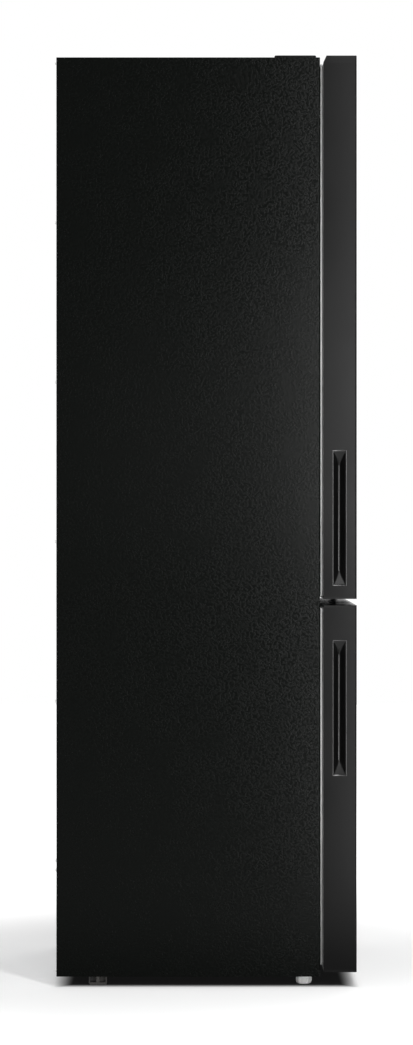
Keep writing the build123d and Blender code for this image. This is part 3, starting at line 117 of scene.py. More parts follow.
class FridgeStage(bpy.types.PropertyGroup):
    """Camera, lamps and floor."""

    distance: length("Camera distance", "Camera from the left side of the cabinet", 6.0)
    picture_height: length("Picture height", "Height that the picture covers at that side", 2.2595)
    eye_height: length("Camera height", "Camera above the floor", 1.0043)
    floor: colour("Floor", "Plain pale floor", (0.80, 0.80, 0.80))
    daylight: share("Daylight", "Even light from all round", 0.30)


# ---- node trees ----
def node(tree, kind, inputs=None, **settings):
    """A new node. An input is named or numbered, and is given a value or the socket that feeds it."""
    made = tree.nodes.new(kind)
    for name, value in settings.items():
        setattr(made, name, value)
    for name, value in (inputs or {}).items():
        if isinstance(value, bpy.types.NodeSocket):
            tree.links.new(value, made.inputs[name])
        else:
            made.inputs[name].default_value = value
    return made


def math_node(tree, operation, a, b=0.0):
    """The result of one sum on two numbers or sockets."""
    return node(tree, "ShaderNodeMath", {0: a, 1: b}, operation=operation).outputs[0]


def blend(tree, factor, first, second):
    """The colour between two colours, each of which is a socket or red, green, blue and alpha."""
    return node(tree, "ShaderNodeMix", {0: factor, 6: first, 7: second}, data_type="RGBA").outputs[2]


def group_tree(name, inputs, outputs):
    """A shader node group with named number inputs and outputs, and its two end nodes."""
    tree = bpy.data.node_groups.new(name, "ShaderNodeTree")
    for label, value in inputs.items():
        socket = tree.interface.new_socket(label, in_out="INPUT", socket_type="NodeSocketFloat")
        socket.default_value = value
    for label in outputs:
        tree.interface.new_socket(label, in_out="OUTPUT", socket_type="NodeSocketFloat")
    return tree, tree.nodes.new("NodeGroupInput"), tree.nodes.new("NodeGroupOutput")


def surface_group(name, scale):
    """Starts a surface effect: its tree, its Scale input, object coordinates and its end node."""
    tree, start, end = group_tree(name, {"Scale": scale}, ("Height", "Shade"))
    at = node(tree, "ShaderNodeTexCoord").outputs["Object"]
    return tree, start.outputs["Scale"], at, end


def close_group(tree, end, height, shade):
    """Ends a surface effect: Height feeds the bump, and Shade the colour and the roughness."""
    tree.links.new(height, end.inputs["Height"])
    tree.links.new(shade, end.inputs["Shade"])
    return tree


def noise(tree, at, scale, detail=2.0, roughness=0.5, distortion=0.0):
    """Soft random values about 0.5, with a number of lumps to the metre."""
    values = {
        "Vector": at, "Scale": scale, "Detail": detail, "Roughness": roughness, "Distortion": distortion,
    }
    return node(tree, "ShaderNodeTexNoise", values).outputs["Fac"]


def limits(tree, value, low, high, to_low=0.0, to_high=1.0, smooth=True):
    """Stretches low to high on to to_low to to_high, and holds it there beyond both."""
    values = {"Value": value, "From Min": low, "From Max": high, "To Min": to_low, "To Max": to_high}
    kind = "SMOOTHSTEP" if smooth else "LINEAR"
    return node(tree, "ShaderNodeMapRange", values, interpolation_type=kind).outputs["Result"]


def embossed_sheet():
    """Rolled steel with a random pebble of low plateaus, pressed deeper in some patches than in others."""
    tree, scale, at, end = surface_group("Embossed sheet", 300.0)
    coarse = noise(tree, at, scale, detail=1.0, distortion=0.6)
    plateau = limits(tree, coarse, 0.44, 0.58)
    fine = noise(tree, at, math_node(tree, "MULTIPLY", scale, 4.0))
    height = math_node(tree, "ADD", plateau, math_node(tree, "MULTIPLY", fine, 0.15))
    patches = noise(tree, at, 16.0, detail=3.0)
    half_depth = limits(tree, patches, 0.3, 0.7, 0.40, 0.62)
    lowest = math_node(tree, "SUBTRACT", 0.5, half_depth)
    highest = math_node(tree, "ADD", 0.5, half_depth)
    shade = limits(tree, plateau, 0.0, 1.0, lowest, highest, smooth=False)
    pressed = math_node(tree, "MULTIPLY", height, math_node(tree, "MULTIPLY", half_depth, 2.0))
    return close_group(tree, end, pressed, shade)


def moulded_grain():
    """Fine spark-eroded grain of moulded plastic, with a slow change of shade."""
    tree, scale, at, end = surface_group("Moulded grain", 1500.0)
    height = noise(tree, at, scale, roughness=0.6)
    slow = noise(tree, at, 9.0)
    return close_group(tree, end, height, limits(tree, slow, 0.3, 0.7))


def sprayed_paint():
    """The faint orange peel of stoved paint on smooth steel."""
    tree, scale, at, end = surface_group("Sprayed paint", 420.0)
    peel = noise(tree, at, scale, detail=1.0, roughness=0.4)
    speck = noise(tree, at, math_node(tree, "MULTIPLY", scale, 6.0), detail=1.0)
    height = math_node(tree, "ADD", peel, math_node(tree, "MULTIPLY", speck, 0.1))
    slow = noise(tree, at, 5.0, detail=3.0)
    return close_group(tree, end, height, limits(tree, slow, 0.3, 0.7))


def zinc_spangle():
    """Frozen zinc crystals on galvanised sheet, with level rolling lines."""
    tree, scale, at, end = surface_group("Zinc spangle", 90.0)
    cells = node(tree, "ShaderNodeTexVoronoi", {"Vector": at, "Scale": scale, "Randomness": 1.0})
    tone = node(tree, "ShaderNodeSeparateColor", {"Color": cells.outputs["Color"]}).outputs["Red"]
    squeezed = node(tree, "ShaderNodeMapping", {"Vector": at, "Scale": (6.0, 6.0, 400.0)})
    lines = noise(tree, squeezed.outputs["Vector"], 4.0, detail=3.0)
    crystals = math_node(tree, "MULTIPLY", tone, 0.6)
    shade = math_node(tree, "ADD", crystals, math_node(tree, "MULTIPLY", lines, 0.4))
    return close_group(tree, end, lines, shade)


def blown_foam():
    """Open skin of blown insulation."""
    tree, scale, at, end = surface_group("Blown foam", 160.0)
    cells = node(tree, "ShaderNodeTexVoronoi", {"Vector": at, "Scale": scale, "Randomness": 1.0})
    lumps = noise(tree, at, 30.0, detail=3.0)
    height = math_node(tree, "ADD", cells.outputs["Distance"], lumps)
    return close_group(tree, end, height, limits(tree, lumps, 0.3, 0.7))


def pressed_metal():
    """Drawn or pressed steel with a slight mottle."""
    tree, scale, at, end = surface_group("Pressed metal", 700.0)
    height = noise(tree, at, scale, detail=3.0, roughness=0.6)
    mottle = noise(tree, at, 40.0, detail=3.0)
    return close_group(tree, end, height, limits(tree, mottle, 0.3, 0.7))


def settled_dust():
    """How much dust lies on a surface: more towards the floor, up to Reach above it, in soft patches."""
    tree, start, end = group_tree("Settled dust", {"Reach": 0.5, "Amount": 0.15}, ("Mask",))
    at = node(tree, "ShaderNodeTexCoord").outputs["Object"]
    z = node(tree, "ShaderNodeSeparateXYZ", {"Vector": at}).outputs["Z"]
    near_floor = limits(tree, z, start.outputs["Reach"], 0.0, smooth=False)
    patches = limits(tree, noise(tree, at, 14.0, detail=4.0, roughness=0.6), 0.35, 0.75)
    mask = math_node(tree, "MULTIPLY", near_floor, patches)
    tree.links.new(math_node(tree, "MULTIPLY", mask, start.outputs["Amount"]), end.inputs["Mask"])
    return tree


SURFACES = {
    "embossed": embossed_sheet,
    "moulded": moulded_grain,
    "sprayed": sprayed_paint,
    "spangle": zinc_spangle,
    "foam": blown_foam,
    "pressed": pressed_metal,
    "dust": settled_dust,
}
DUST_COLOUR = (0.30, 0.28, 0.25, 1.0)
GROUPS = {}
FINISHES = {}


def group_of(kind):
    """The node group of a surface effect, built once."""
    if kind not in GROUPS:
        GROUPS[kind] = SURFACES[kind]()
    return GROUPS[kind]


def finish(
    name, base, roughness, surface, scale, depth, shade=0.08, rough_change=0.05, metallic=0.0, specular=0.5,
    transmission=0.0, ior=1.5, dust=0.0,
):
    """A material of one colour that its surface effect shades, roughens and bumps.

    The effect has scale lumps to the metre, depth metres high. To both sides, it moves the colour by the share
    that shade gives, and the roughness by rough_change.
    """
    material = bpy.data.materials.new(name)
    material.use_nodes = True
    tree = material.node_tree
    shader = tree.nodes["Principled BSDF"]
    effect = node(tree, "ShaderNodeGroup", node_tree=group_of(surface))
    effect.inputs["Scale"].default_value = scale
    darker = (*[c * (1 - shade) for c in base], 1.0)
    lighter = (*[min(1.0, c * (1 + shade)) for c in base], 1.0)
    tone = blend(tree, effect.outputs["Shade"], darker, lighter)
    if dust:
        mask = node(tree, "ShaderNodeGroup", node_tree=group_of("dust"))
        mask.inputs["Amount"].default_value = dust
        tone = blend(tree, mask.outputs["Mask"], tone, DUST_COLOUR)
    tree.links.new(tone, shader.inputs["Base Color"])
    smoothest, roughest = max(0.0, roughness - rough_change), min(1.0, roughness + rough_change)
    rough = limits(tree, effect.outputs["Shade"], 0.0, 1.0, smoothest, roughest, smooth=False)
    tree.links.new(rough, shader.inputs["Roughness"])
    bump = node(tree, "ShaderNodeBump", {"Height": effect.outputs["Height"], "Distance": depth, "Strength": 1.0})
    tree.links.new(bump.outputs["Normal"], shader.inputs["Normal"])
    for label, value in (
        ("Metallic", metallic), ("Specular IOR Level", specular), ("Transmission Weight", transmission),
        ("IOR", ior),
    ):
        shader.inputs[label].default_value = value
    FINISHES[name] = material


def make_finishes(colours, sizes):
    """One material for each slot of the record, under the slot's own name."""
    make_outer_finishes(colours, sizes)
    make_inner_finishes(colours)
    make_metal_finishes()
    make_lower_finishes(colours)


def make_outer_finishes(colours, sizes):
    """Cabinet, doors, their caps, grips and seals."""
    finish("cabinet_paint", colours.cabinet, 0.22, "embossed", 1.0 / sizes.emboss_pitch, sizes.emboss_depth,
           shade=0.10, rough_change=0.06, specular=0.052)
    finish("door_paint", colours.doors, 0.21, "sprayed", 420.0, 0.004 * MM, shade=0.06, rough_change=0.03,
           specular=0.043)
    finish("cap_black", colours.caps, 0.26, "moulded", 1600.0, 0.01 * MM, specular=0.052)
    finish("grip_black", colours.caps, 0.15, "moulded", 1600.0, 0.002 * MM, rough_change=0.03, specular=0.26)
    finish("seal_grey", colours.seals, 0.62, "moulded", 1400.0, 0.04 * MM, shade=0.07, dust=0.10)


def make_inner_finishes(colours):
    """Everything that the doors close in, and the foam in the walls."""
    finish("insulation", (0.74, 0.62, 0.38), 0.92, "foam", 160.0, 0.5 * MM, shade=0.12)
    finish("liner_white", colours.liner, 0.36, "moulded", 1200.0, 0.02 * MM, shade=0.025, specular=0.45)
    finish("panel_white", (0.70, 0.71, 0.72), 0.42, "moulded", 1500.0, 0.03 * MM, shade=0.03)
    finish("button_grey", (0.34, 0.35, 0.36), 0.45, "moulded", 1500.0, 0.03 * MM, shade=0.05)
    finish("lamp_lens", (0.88, 0.89, 0.88), 0.38, "moulded", 900.0, 0.04 * MM, shade=0.02,
           transmission=0.35, ior=1.49)
    finish("shelf_glass", colours.glass, 0.03, "sprayed", 60.0, 0.01 * MM, shade=0.01, rough_change=0.01,
           transmission=1.0, ior=1.52)
    finish("clear_plastic", colours.clear, 0.07, "moulded", 300.0, 0.005 * MM, shade=0.02, rough_change=0.02,
           transmission=0.92, ior=1.49)
    finish("fan_plastic", (0.055, 0.055, 0.056), 0.45, "moulded", 1400.0, 0.03 * MM)


def make_metal_finishes():
    """Bare and coated metal of the back, the shelves, the hinges and the cooling parts."""
    finish("zinc_sheet", (0.50, 0.51, 0.52), 0.38, "spangle", 90.0, 0.03 * MM, shade=0.14, rough_change=0.10,
           metallic=0.9, dust=0.25)
    finish("white_steel", (0.72, 0.73, 0.73), 0.34, "sprayed", 420.0, 0.02 * MM, shade=0.03)
    finish("hinge_steel", (0.022, 0.022, 0.022), 0.36, "pressed", 700.0, 0.03 * MM, shade=0.12,
           rough_change=0.08, specular=0.3)
    finish("screw_steel", (0.58, 0.58, 0.57), 0.30, "pressed", 900.0, 0.02 * MM, shade=0.10,
           rough_change=0.08, metallic=1.0)
    finish("fin_aluminium", (0.74, 0.75, 0.76), 0.34, "pressed", 600.0, 0.02 * MM, shade=0.06,
           rough_change=0.08, metallic=1.0)
    finish("black_steel", (0.016, 0.016, 0.017), 0.34, "sprayed", 500.0, 0.05 * MM, shade=0.15,
           rough_change=0.08, specular=0.45, dust=0.30)


def make_lower_finishes(colours):
    """Rubber, tray and feet."""
    finish("mount_rubber", (0.016, 0.016, 0.016), 0.80, "moulded", 900.0, 0.08 * MM, shade=0.2, dust=0.25)
    finish("tray_plastic", (0.045, 0.045, 0.047), 0.50, "moulded", 1200.0, 0.05 * MM, shade=0.1, dust=0.25)
    finish("foot_white", colours.feet, 0.40, "moulded", 1100.0, 0.02 * MM, shade=0.04, dust=0.06)
    finish("foot_grey", (0.010, 0.010, 0.0105), 0.50, "moulded", 1100.0, 0.05 * MM, shade=0.12, dust=0.25)


# ---- pieces ----
def piece(name, mesh, slot, body, replaced=()):
    """Links a finished mesh as a piece that rides on a body and takes its finish from a slot."""
    made = bpy.data.objects.new(name, mesh)
    bpy.context.scene.collection.objects.link(made)
    made.data.materials.clear()
    made.data.materials.append(FINISHES[slot])
    if replaced:
        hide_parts(*replaced)
    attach(made, body)
    return made


def mesh_of(name, vertices, faces, smooth=True):
    """A mesh from corner and face lists, with its normals turned outwards."""
    mesh = bpy.data.meshes.new(name)
    mesh.from_pydata([tuple(v) for v in vertices], [], faces)
    work = bmesh.new()
    work.from_mesh(mesh)
    bmesh.ops.remove_doubles(work, verts=work.verts, dist=1e-7)
    bmesh.ops.recalc_face_normals(work, faces=work.faces)
    work.to_mesh(mesh)
    work.free()
    mesh.polygons.foreach_set("use_smooth", [smooth] * len(mesh.polygons))
    return mesh


# ---- geometry node trees ----
def shape_tree(name, inputs):
    """A geometry node group with named inputs, its inputs by name, and its end socket."""
    tree = bpy.data.node_groups.new(name, "GeometryNodeTree")
    for label, kind in inputs.items():
        tree.interface.new_socket(label, in_out="INPUT", socket_type=f"NodeSocket{kind}")
    tree.interface.new_socket("Geometry", in_out="OUTPUT", socket_type="NodeSocketGeometry")
    return tree, tree.nodes.new("NodeGroupInput").outputs, tree.nodes.new("NodeGroupOutput").inputs[0]


def shape_of(tree, given):
    """The geometry of the object that is given as Shape."""
    return node(tree, "GeometryNodeObjectInfo", {"Object": given["Shape"]}).outputs["Geometry"]


def end_tree(tree, given, copies, result):
    """Turns the copies into one plain mesh with its finish."""
    plain = node(tree, "GeometryNodeRealizeInstances", {"Geometry": copies}).outputs["Geometry"]
    done = node(tree, "GeometryNodeSetMaterial", {"Geometry": plain, "Material": given["Finish"]})
    tree.links.new(done.outputs["Geometry"], result)
    return tree


def rows_tree():
    """Copies of a shape in columns and rows on a plane that is turned and moved to its place."""
    tree, given, result = shape_tree("Rows of a shape", {
        "Shape": "Object", "Finish": "Material", "Columns": "Int", "Rows": "Int",
        "Column pitch": "Float", "Row pitch": "Float", "Turn": "Rotation", "Middle": "Vector",
    })
    across, up = [
        math_node(tree, "MULTIPLY", math_node(tree, "SUBTRACT", given[number], 1), given[pitch])
        for number, pitch in (("Columns", "Column pitch"), ("Rows", "Row pitch"))
    ]
    points = node(tree, "GeometryNodeMeshGrid", {
        "Size X": across, "Size Y": up, "Vertices X": given["Columns"], "Vertices Y": given["Rows"],
    })
    copies = node(tree, "GeometryNodeInstanceOnPoints", {
        "Points": points.outputs["Mesh"], "Instance": shape_of(tree, given),
    })
    placed = node(tree, "GeometryNodeTransform", {
        "Geometry": copies.outputs["Instances"], "Translation": given["Middle"], "Rotation": given["Turn"],
    })
    return end_tree(tree, given, placed.outputs["Geometry"], result)


def scatter_tree():
    """Copies of a shape on given points, each turned to its point's facing."""
    tree, given, result = shape_tree("Shape on points", {
        "Points": "Geometry", "Shape": "Object", "Finish": "Material",
    })
    facing = node(tree, "GeometryNodeInputNamedAttribute", {"Name": "facing"}, data_type="FLOAT_VECTOR")
    turn = node(tree, "FunctionNodeAlignRotationToVector", {"Vector": facing.outputs["Attribute"]}, axis="Z")
    copies = node(tree, "GeometryNodeInstanceOnPoints", {
        "Points": given["Points"], "Instance": shape_of(tree, given), "Rotation": turn.outputs["Rotation"],
    })
    return end_tree(tree, given, copies.outputs["Instances"], result)


def run_tree(name, tree, points, shape, inputs):
    """The plain mesh that a tree makes from the points and the shape. Inputs are given by their names."""
    carrier = bpy.data.objects.new(name + "_carrier", points)
    master = bpy.data.objects.new(name + "_shape", shape)
    for each in (carrier, master):
        bpy.context.scene.collection.objects.link(each)
    modifier = carrier.modifiers.new("Tree", "NODES")
    modifier.node_group = tree
    for item in tree.interface.items_tree:
        if item.in_out == "INPUT" and item.name in {"Shape", *inputs}:
            modifier[item.identifier] = master if item.name == "Shape" else inputs[item.name]
    ready = carrier.evaluated_get(bpy.context.evaluated_depsgraph_get())
    mesh = bpy.data.meshes.new_from_object(ready)
    carrier.modifiers.remove(modifier)
    for each in (carrier, master):
        bpy.data.objects.remove(each)
    if not mesh.polygons:
        raise RuntimeError(f"{name} came out empty")
    mesh.name = name
    return mesh


TREES = {}
# The turn that makes a shape which stands on the plane of X and Y stand on a plane that faces another way.
FACING = {"-Y": (math.pi / 2, 0, 0), "+Y": (-math.pi / 2, 0, 0), "-Z": (math.pi, 0, 0), "+Z": (0, 0, 0)}


def rows(name, shape, slot, body, facing, middle, columns=1, column_pitch=0.0, row_count=1, row_pitch=0.0):
    """A piece of one shape in rows and columns, on a plane that faces one way."""
    if "rows" not in TREES:
        TREES["rows"] = rows_tree()
    inputs = {
        "Finish": FINISHES[slot], "Columns": columns, "Rows": row_count, "Column pitch": column_pitch,
        "Row pitch": row_pitch, "Turn": FACING[facing], "Middle": tuple(middle),
    }
    return piece(name, run_tree(name, TREES["rows"], bpy.data.meshes.new(name), shape, inputs), slot, body)


def scattered(name, shape, slot, body, places):
    """A piece of one shape at places, each of which is a point and the way that it faces."""
    if "scatter" not in TREES:
        TREES["scatter"] = scatter_tree()
    points = bpy.data.meshes.new(name)
    points.from_pydata([tuple(at) for at, _ in places], [], [])
    facing = points.attributes.new("facing", "FLOAT_VECTOR", "POINT")
    facing.data.foreach_set("vector", [v for _, way in places for v in way])
    inputs = {"Finish": FINISHES[slot]}
    return piece(name, run_tree(name, TREES["scatter"], points, shape, inputs), slot, body)


# ---- lofted shapes ----
def rounded(half_x, half_y, corner, z, steps=3):
    """A ring of points round a rectangle with round corners, at a height."""
    corner = min(corner, half_x, half_y)
    ring = []
    for quarter, (sx, sy) in enumerate(((1, 1), (-1, 1), (-1, -1), (1, -1))):
        for step in range(steps + 1):
            angle = math.pi / 2 * (quarter + step / steps)
            x = sx * (half_x - corner) + corner * math.cos(angle)
            ring.append((x, sy * (half_y - corner) + corner * math.sin(angle), z))
    return ring


def polygon(sides, radius, z, points=12):
    """A ring of points evenly round a regular polygon, or a circle where sides is 0."""
    ring = []
    for i in range(points):
        angle = 2 * math.pi * i / points
        reach = radius
        if sides:
            wedge = math.pi / sides
            reach = radius * math.cos(wedge) / math.cos((angle + wedge) % (2 * wedge) - wedge)
        ring.append((reach * math.cos(angle), reach * math.sin(angle), z))
    return ring


def strip_faces(size, first, second):
    """The faces between two rings of corners, given by their numbers."""
    return [
        (size * first + i, size * first + (i + 1) % size, size * second + (i + 1) % size, size * second + i)
        for i in range(size)
    ]


def loft(name, rings, smooth=False):
    """A closed mesh through rings of equal counts, capped at both ends."""
    size, last = len(rings[0]), len(rings) - 1
    faces = [face for ring in range(last) for face in strip_faces(size, ring, ring + 1)]
    faces += [tuple(range(size)), tuple(range(size * last, size * (last + 1)))]
    return mesh_of(name, [v for ring in rings for v in ring], faces, smooth)


# How far a bar sinks into its plane, and the smallest radius of its corners.
BAR_SINK, SHARPEST_CORNER = 0.3 * MM, 0.05 * MM


def bar(x, y, height, corner=None, bevel=None):
    """A bar of x by y that stands on a plane, sunk a little, with round corners and a bevelled top."""
    bevel = height * 0.4 if bevel is None else bevel
    corner = min(x, y) / 2 if corner is None else corner
    # Each level: in from the bar's sides, and its height.
    levels = ((0, -BAR_SINK), (0, height - bevel), (bevel * 0.4, height - bevel * 0.35), (bevel, height))
    return loft("bar", [rounded(x / 2 - i, y / 2 - i, max(corner - i, SHARPEST_CORNER), z) for i, z in levels])


def screw_head(radius, height):
    """A flanged hexagon head with a dished top."""
    # Each step: the sides of its ring, 0 for a round one, its part of the radius and its part of the height.
    steps = (
        (0, 1.0, -0.1), (0, 1.0, 0.18), (0, 0.86, 0.34), (6, 0.66, 0.38), (6, 0.66, 0.9), (6, 0.58, 1.0),
        (0, 0.40, 1.0), (0, 0.34, 0.78),
    )
    return loft("screw", [polygon(sides, radius * part, height * rise) for sides, part, rise in steps])


SEAL_HALF_WIDTH = 6 * MM
# Half of a seal's section, as (away from its middle, away from the door) in mm: dart base, bellows, magnet head.
SEAL_HALF = (
    (6.0, 0.0), (6.0, 0.8), (5.6, 1.2), (3.4, 1.5), (2.6, 2.0), (2.9, 2.5), (4.6, 2.9), (5.6, 3.3), (6.0, 3.8),
    (6.0, 5.3), (5.7, 5.9), (5.1, 6.2),
)


def seal_mesh(name, node_name):
    """A frame of seal section with mitred, welded corners, in the place of its plain solid."""
    low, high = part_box(node_name)
    middle = (low + high) / 2
    half_x, half_z = (high.x - low.x) / 2 - SEAL_HALF_WIDTH, (high.z - low.z) / 2 - SEAL_HALF_WIDTH
    section = [*SEAL_HALF, *[(-u, v) for u, v in reversed(SEAL_HALF)]]
    vertices = [
        (middle.x + sx * (half_x + u * MM), low.y + v * MM, middle.z + sz * (half_z + u * MM))
        for sx, sz in ((1, 1), (-1, 1), (-1, -1), (1, -1))
        for u, v in section
    ]
    faces = [face for corner in range(4) for face in strip_faces(len(section), corner, (corner + 1) % 4)]
    return mesh_of(name, vertices, faces)


# ---- the steps ----
DOORS = ("upper_door", "lower_door")


class FRIDGE_OT_finishes(bpy.types.Operator):
    """Make the finishes and put them on every solid."""

    bl_idname = "fridge.finishes"
    bl_label = "Finishes"

    def execute(self, context):
        make_finishes(context.scene.fridge_colours, context.scene.fridge_sizes)
        for name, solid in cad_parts.items():
            for index, old in enumerate(solid.data.materials):
                slot = old.name.split(".")[0]
                if slot not in FINISHES:
                    raise RuntimeError(f"{name} has no finish for its slot {slot}")
                solid.data.materials[index] = FINISHES[slot]
        return {"FINISHED"}


class FRIDGE_OT_seals(bpy.types.Operator):
    """Make the two door seals with their bellows and magnet heads."""

    bl_idname = "fridge.seals"
    bl_label = "Door seals"

    def execute(self, context):
        for door in DOORS:
            mesh = seal_mesh(f"{door}_seal", f"{door}_gasket")
            piece(f"{door}_seal", mesh, "seal_grey", door, (f"{door}_gasket",))
        return {"FINISHED"}


# Each step of a grip's section, in mm: in from its mouth along Y and along Z, in from the door's side, and
# the radius of the corners.
GRIP_STEPS = (
    (11.9, 31.0, 27.0, 0.8), (11.5, 30.0, 26.7, 1.2), (10.9, 28.2, 25.3, 1.9), (9.3, 24.2, 21.6, 2.5),
    (5.4, 13.4, 12.2, 3.0), (1.4, 2.6, 2.6, 2.5), (0.6, 0.7, 0.9, 2.0), (0.3, -0.2, 0.45, 1.5),
    (0.0, -0.9, 0.22, 1.0), (-0.12, -1.2, 0.15, 1.0), (-1.7, -1.7, 0.0, 1.0), (-1.82, -1.82, 0.03, 1.0),
    (-1.9, -1.9, 0.9, 1.0), (-5, -5, 0.9, 1.0), (-5, -5, 2.7, 1.0), (-1.6, -0.8, 2.7, 3.0),
    (10.0, 27.2, 28.8, 1.6), (11.9, 31.0, 28.8, 0.8),
)
# The width of the flange that lies behind the door's skin, all round the mouth.
GRIP_FLANGE = 5 * MM


def grip_mesh(name, node_name):
    """A door's grip with a rolled lip, tapered walls and a soft crease, in the place of its plain solid."""
    low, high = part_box(node_name)
    y, z, side = (low.y + high.y) / 2, (low.z + high.z) / 2, CAD_BOX[0].x
    mouth_y, mouth_z = (high.y - low.y) / 2 - GRIP_FLANGE, (high.z - low.z) / 2 - GRIP_FLANGE
    rings = []
    for in_y, in_z, depth, corner in GRIP_STEPS:
        ring = rounded(mouth_y - in_y * MM, mouth_z - in_z * MM, corner * MM, side + depth * MM)
        rings.append([(x, y + u, z + v) for u, v, x in ring])
    return loft(name, rings, smooth=True)


class FRIDGE_OT_grips(bpy.types.Operator):
    """Make the two recessed grips with their rolled lips."""

    bl_idname = "fridge.grips"
    bl_label = "Grips"

    def execute(self, context):
        for door in DOORS:
            mesh = grip_mesh(f"{door}_pull", f"{door}_grip")
            piece(f"{door}_pull", mesh, "grip_black", door, (f"{door}_grip",))
        return {"FINISHED"}


class FRIDGE_OT_screws(bpy.types.Operator):
    """Drive the sheet metal screws of the back, the inner covers and the compressor."""

    bl_idname = "fridge.screws"
    bl_label = "Screws"

    def execute(self, context):
        sizes = context.scene.fridge_sizes
        head = screw_head(sizes.screw_radius, sizes.screw_height)
        self.back(head)
        # The inner screws are smaller, and the compressor's bolts larger.
        self.inner_covers(screw_head(sizes.screw_radius * 0.85, sizes.screw_height * 0.8))
        self.compressor(screw_head(sizes.screw_radius * 1.7, sizes.screw_height * 1.8))
        return {"FINISHED"}

    def back(self, head):
        """Round the edges of the two sheets of the back, at even steps near the pitches."""
        inset, pitch_across, pitch_up = 10 * MM, 280 * MM, 340 * MM
        places = []
        for name in ("back_panel", "rear_cover"):
            low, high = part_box(name)
            width, height = high.x - low.x - 2 * inset, high.z - low.z - 2 * inset
            across, up = max(2, round(width / pitch_across)), max(1, round(height / pitch_up))
            places += [
                (low.x + inset + width * i / across, high.y, low.z + inset + height * j / up)
                for i in range(across + 1)
                for j in range(up + 1)
                if i in (0, across) or j in (0, up)
            ]
        scattered("back_screws", head, "screw_steel", "cabinet", [(at, (0, 1, 0)) for at in places])

    def inner_covers(self, head):
        """Down both sides of the evaporator's cover, and between the outlets of the air duct."""
        low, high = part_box("evaporator_cover")
        inset = 16 * MM
        places = [
            (x, low.y, z)
            for x in (low.x + inset, high.x - inset)
            for z in (low.z + 15 * MM, low.z + 250 * MM, high.z - 40 * MM)
        ]
        low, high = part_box("air_duct_cover")
        places += [(0, low.y, z) for z in (low.z + 210 * MM, low.z + 360 * MM, high.z - 20 * MM)]
        scattered("cover_screws", head, "screw_steel", "cabinet", [(at, (0, -1, 0)) for at in places])

    def compressor(self, head):
        """On the compressor's foot plate, over the middle of each rubber mount."""
        low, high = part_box("compressor_mounts")
        to_middle, foot = 12 * MM, 2 * MM
        places = [
            ((x, y, high.z + foot), (0, 0, 1))
            for x in (low.x + to_middle, high.x - to_middle)
            for y in (low.y + to_middle, high.y - to_middle)
        ]
        scattered("mount_bolts", head, "screw_steel", "cabinet", places)


# Each drawer, its body, the height of the middle of its ribs above its bottom in mm, and how many it has.
DRAWER_RIBS = (
    ("crisper_drawer", "crisper_body", 44, 4),
    ("chill_drawer", "chill_body", 40, 4),
    ("freezer_drawer_bottom", "freezer_bottom_body", 76, 6),
    ("freezer_drawer_middle", "freezer_middle_body", 86, 7),
    ("freezer_drawer_top", "freezer_top_body", 84, 7),
)


class FRIDGE_OT_ribs(bpy.types.Operator):
    """Mould the ribs of the drawers, the door bins, the lid, the covers and the lamps, and the coil's fins."""

    bl_idname = "fridge.ribs"
    bl_label = "Ribs"

    def execute(self, context):
        self.drawers()
        self.door_bins()
        self.lamps()
        self.covers()
        self.coil()
        return {"FINISHED"}

    def drawers(self):
        """Level ribs over four fifths of each drawer's front."""
        for drawer, body, rise, lines in DRAWER_RIBS:
            low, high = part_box(drawer)
            shape = bar((high.x - low.x) * 0.80, 3 * MM, 1.0 * MM)
            middle = (0, low.y, low.z + rise * MM)
            rows(f"{drawer}_ribs", shape, "clear_plastic", body, "-Y", middle, row_count=lines, row_pitch=14 * MM)

    def door_bins(self):
        """Upright ribs on the bins' fronts, and ribs across the dairy bin's lid."""
        ends, below_middle = 34 * MM, 6 * MM
        for tray in ("bottle_bin", "door_bin_lower", "door_bin_upper"):
            low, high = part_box(tray)
            shape = bar(2.4 * MM, high.z - low.z - ends, 1.0 * MM)
            middle = (0, high.y, (low.z + high.z) / 2 - below_middle)
            rows(f"{tray}_ribs", shape, "clear_plastic", "upper_door", "+Y", middle, 25, 15 * MM)
        low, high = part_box("dairy_lid")
        lid_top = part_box("dairy_bin")[1].z - 8.8 * MM
        shape = bar(2.4 * MM, 60 * MM, 0.9 * MM)
        middle = (0, (low.y + high.y) / 2, lid_top)
        rows("dairy_lid_ribs", shape, "clear_plastic", "dairy_lid_body", "+Z", middle, 19, 20 * MM)

    def lamps(self):
        """Prisms under both lenses of the ceiling lamps."""
        low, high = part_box("led_lamps")
        shape = bar(1.7 * MM, 22 * MM, 0.7 * MM)
        lens_middle = high.x - 40 * MM
        for side, name in ((-1, "left"), (1, "right")):
            middle = (side * lens_middle, (low.y + high.y) / 2, low.z)
            rows(f"{name}_lamp_prisms", shape, "lamp_lens", "cabinet", "-Z", middle, 24, 3 * MM)

    def covers(self):
        """Three ribs across the evaporator's cover, and six swages across the back."""
        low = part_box("evaporator_cover")[0]
        shape = bar(410 * MM, 4 * MM, 1.2 * MM)
        middle = (0, low.y, low.z + 85 * MM)
        rows("evaporator_cover_ribs", shape, "panel_white", "cabinet", "-Y", middle, row_count=3, row_pitch=90 * MM)
        low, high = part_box("back_panel")
        shape = bar(500 * MM, 16 * MM, 1.6 * MM)
        middle = (0, high.y, (low.z + high.z) / 2)
        rows("back_swages", shape, "zinc_sheet", "cabinet", "+Y", middle, row_count=6, row_pitch=270 * MM)

    def coil(self):
        """Thin upright fins along the evaporator's tubes."""
        coil_y, lift = 223.5 * MM, 8 * MM
        shape = bar(0.4 * MM, 26 * MM, 196 * MM, corner=0.1 * MM, bevel=0.1 * MM)
        middle = (0, coil_y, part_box("evaporator_coil")[0].z + lift)
        rows("evaporator_fins", shape, "fin_aluminium", "cabinet", "+Z", middle, 60, 5.1 * MM)


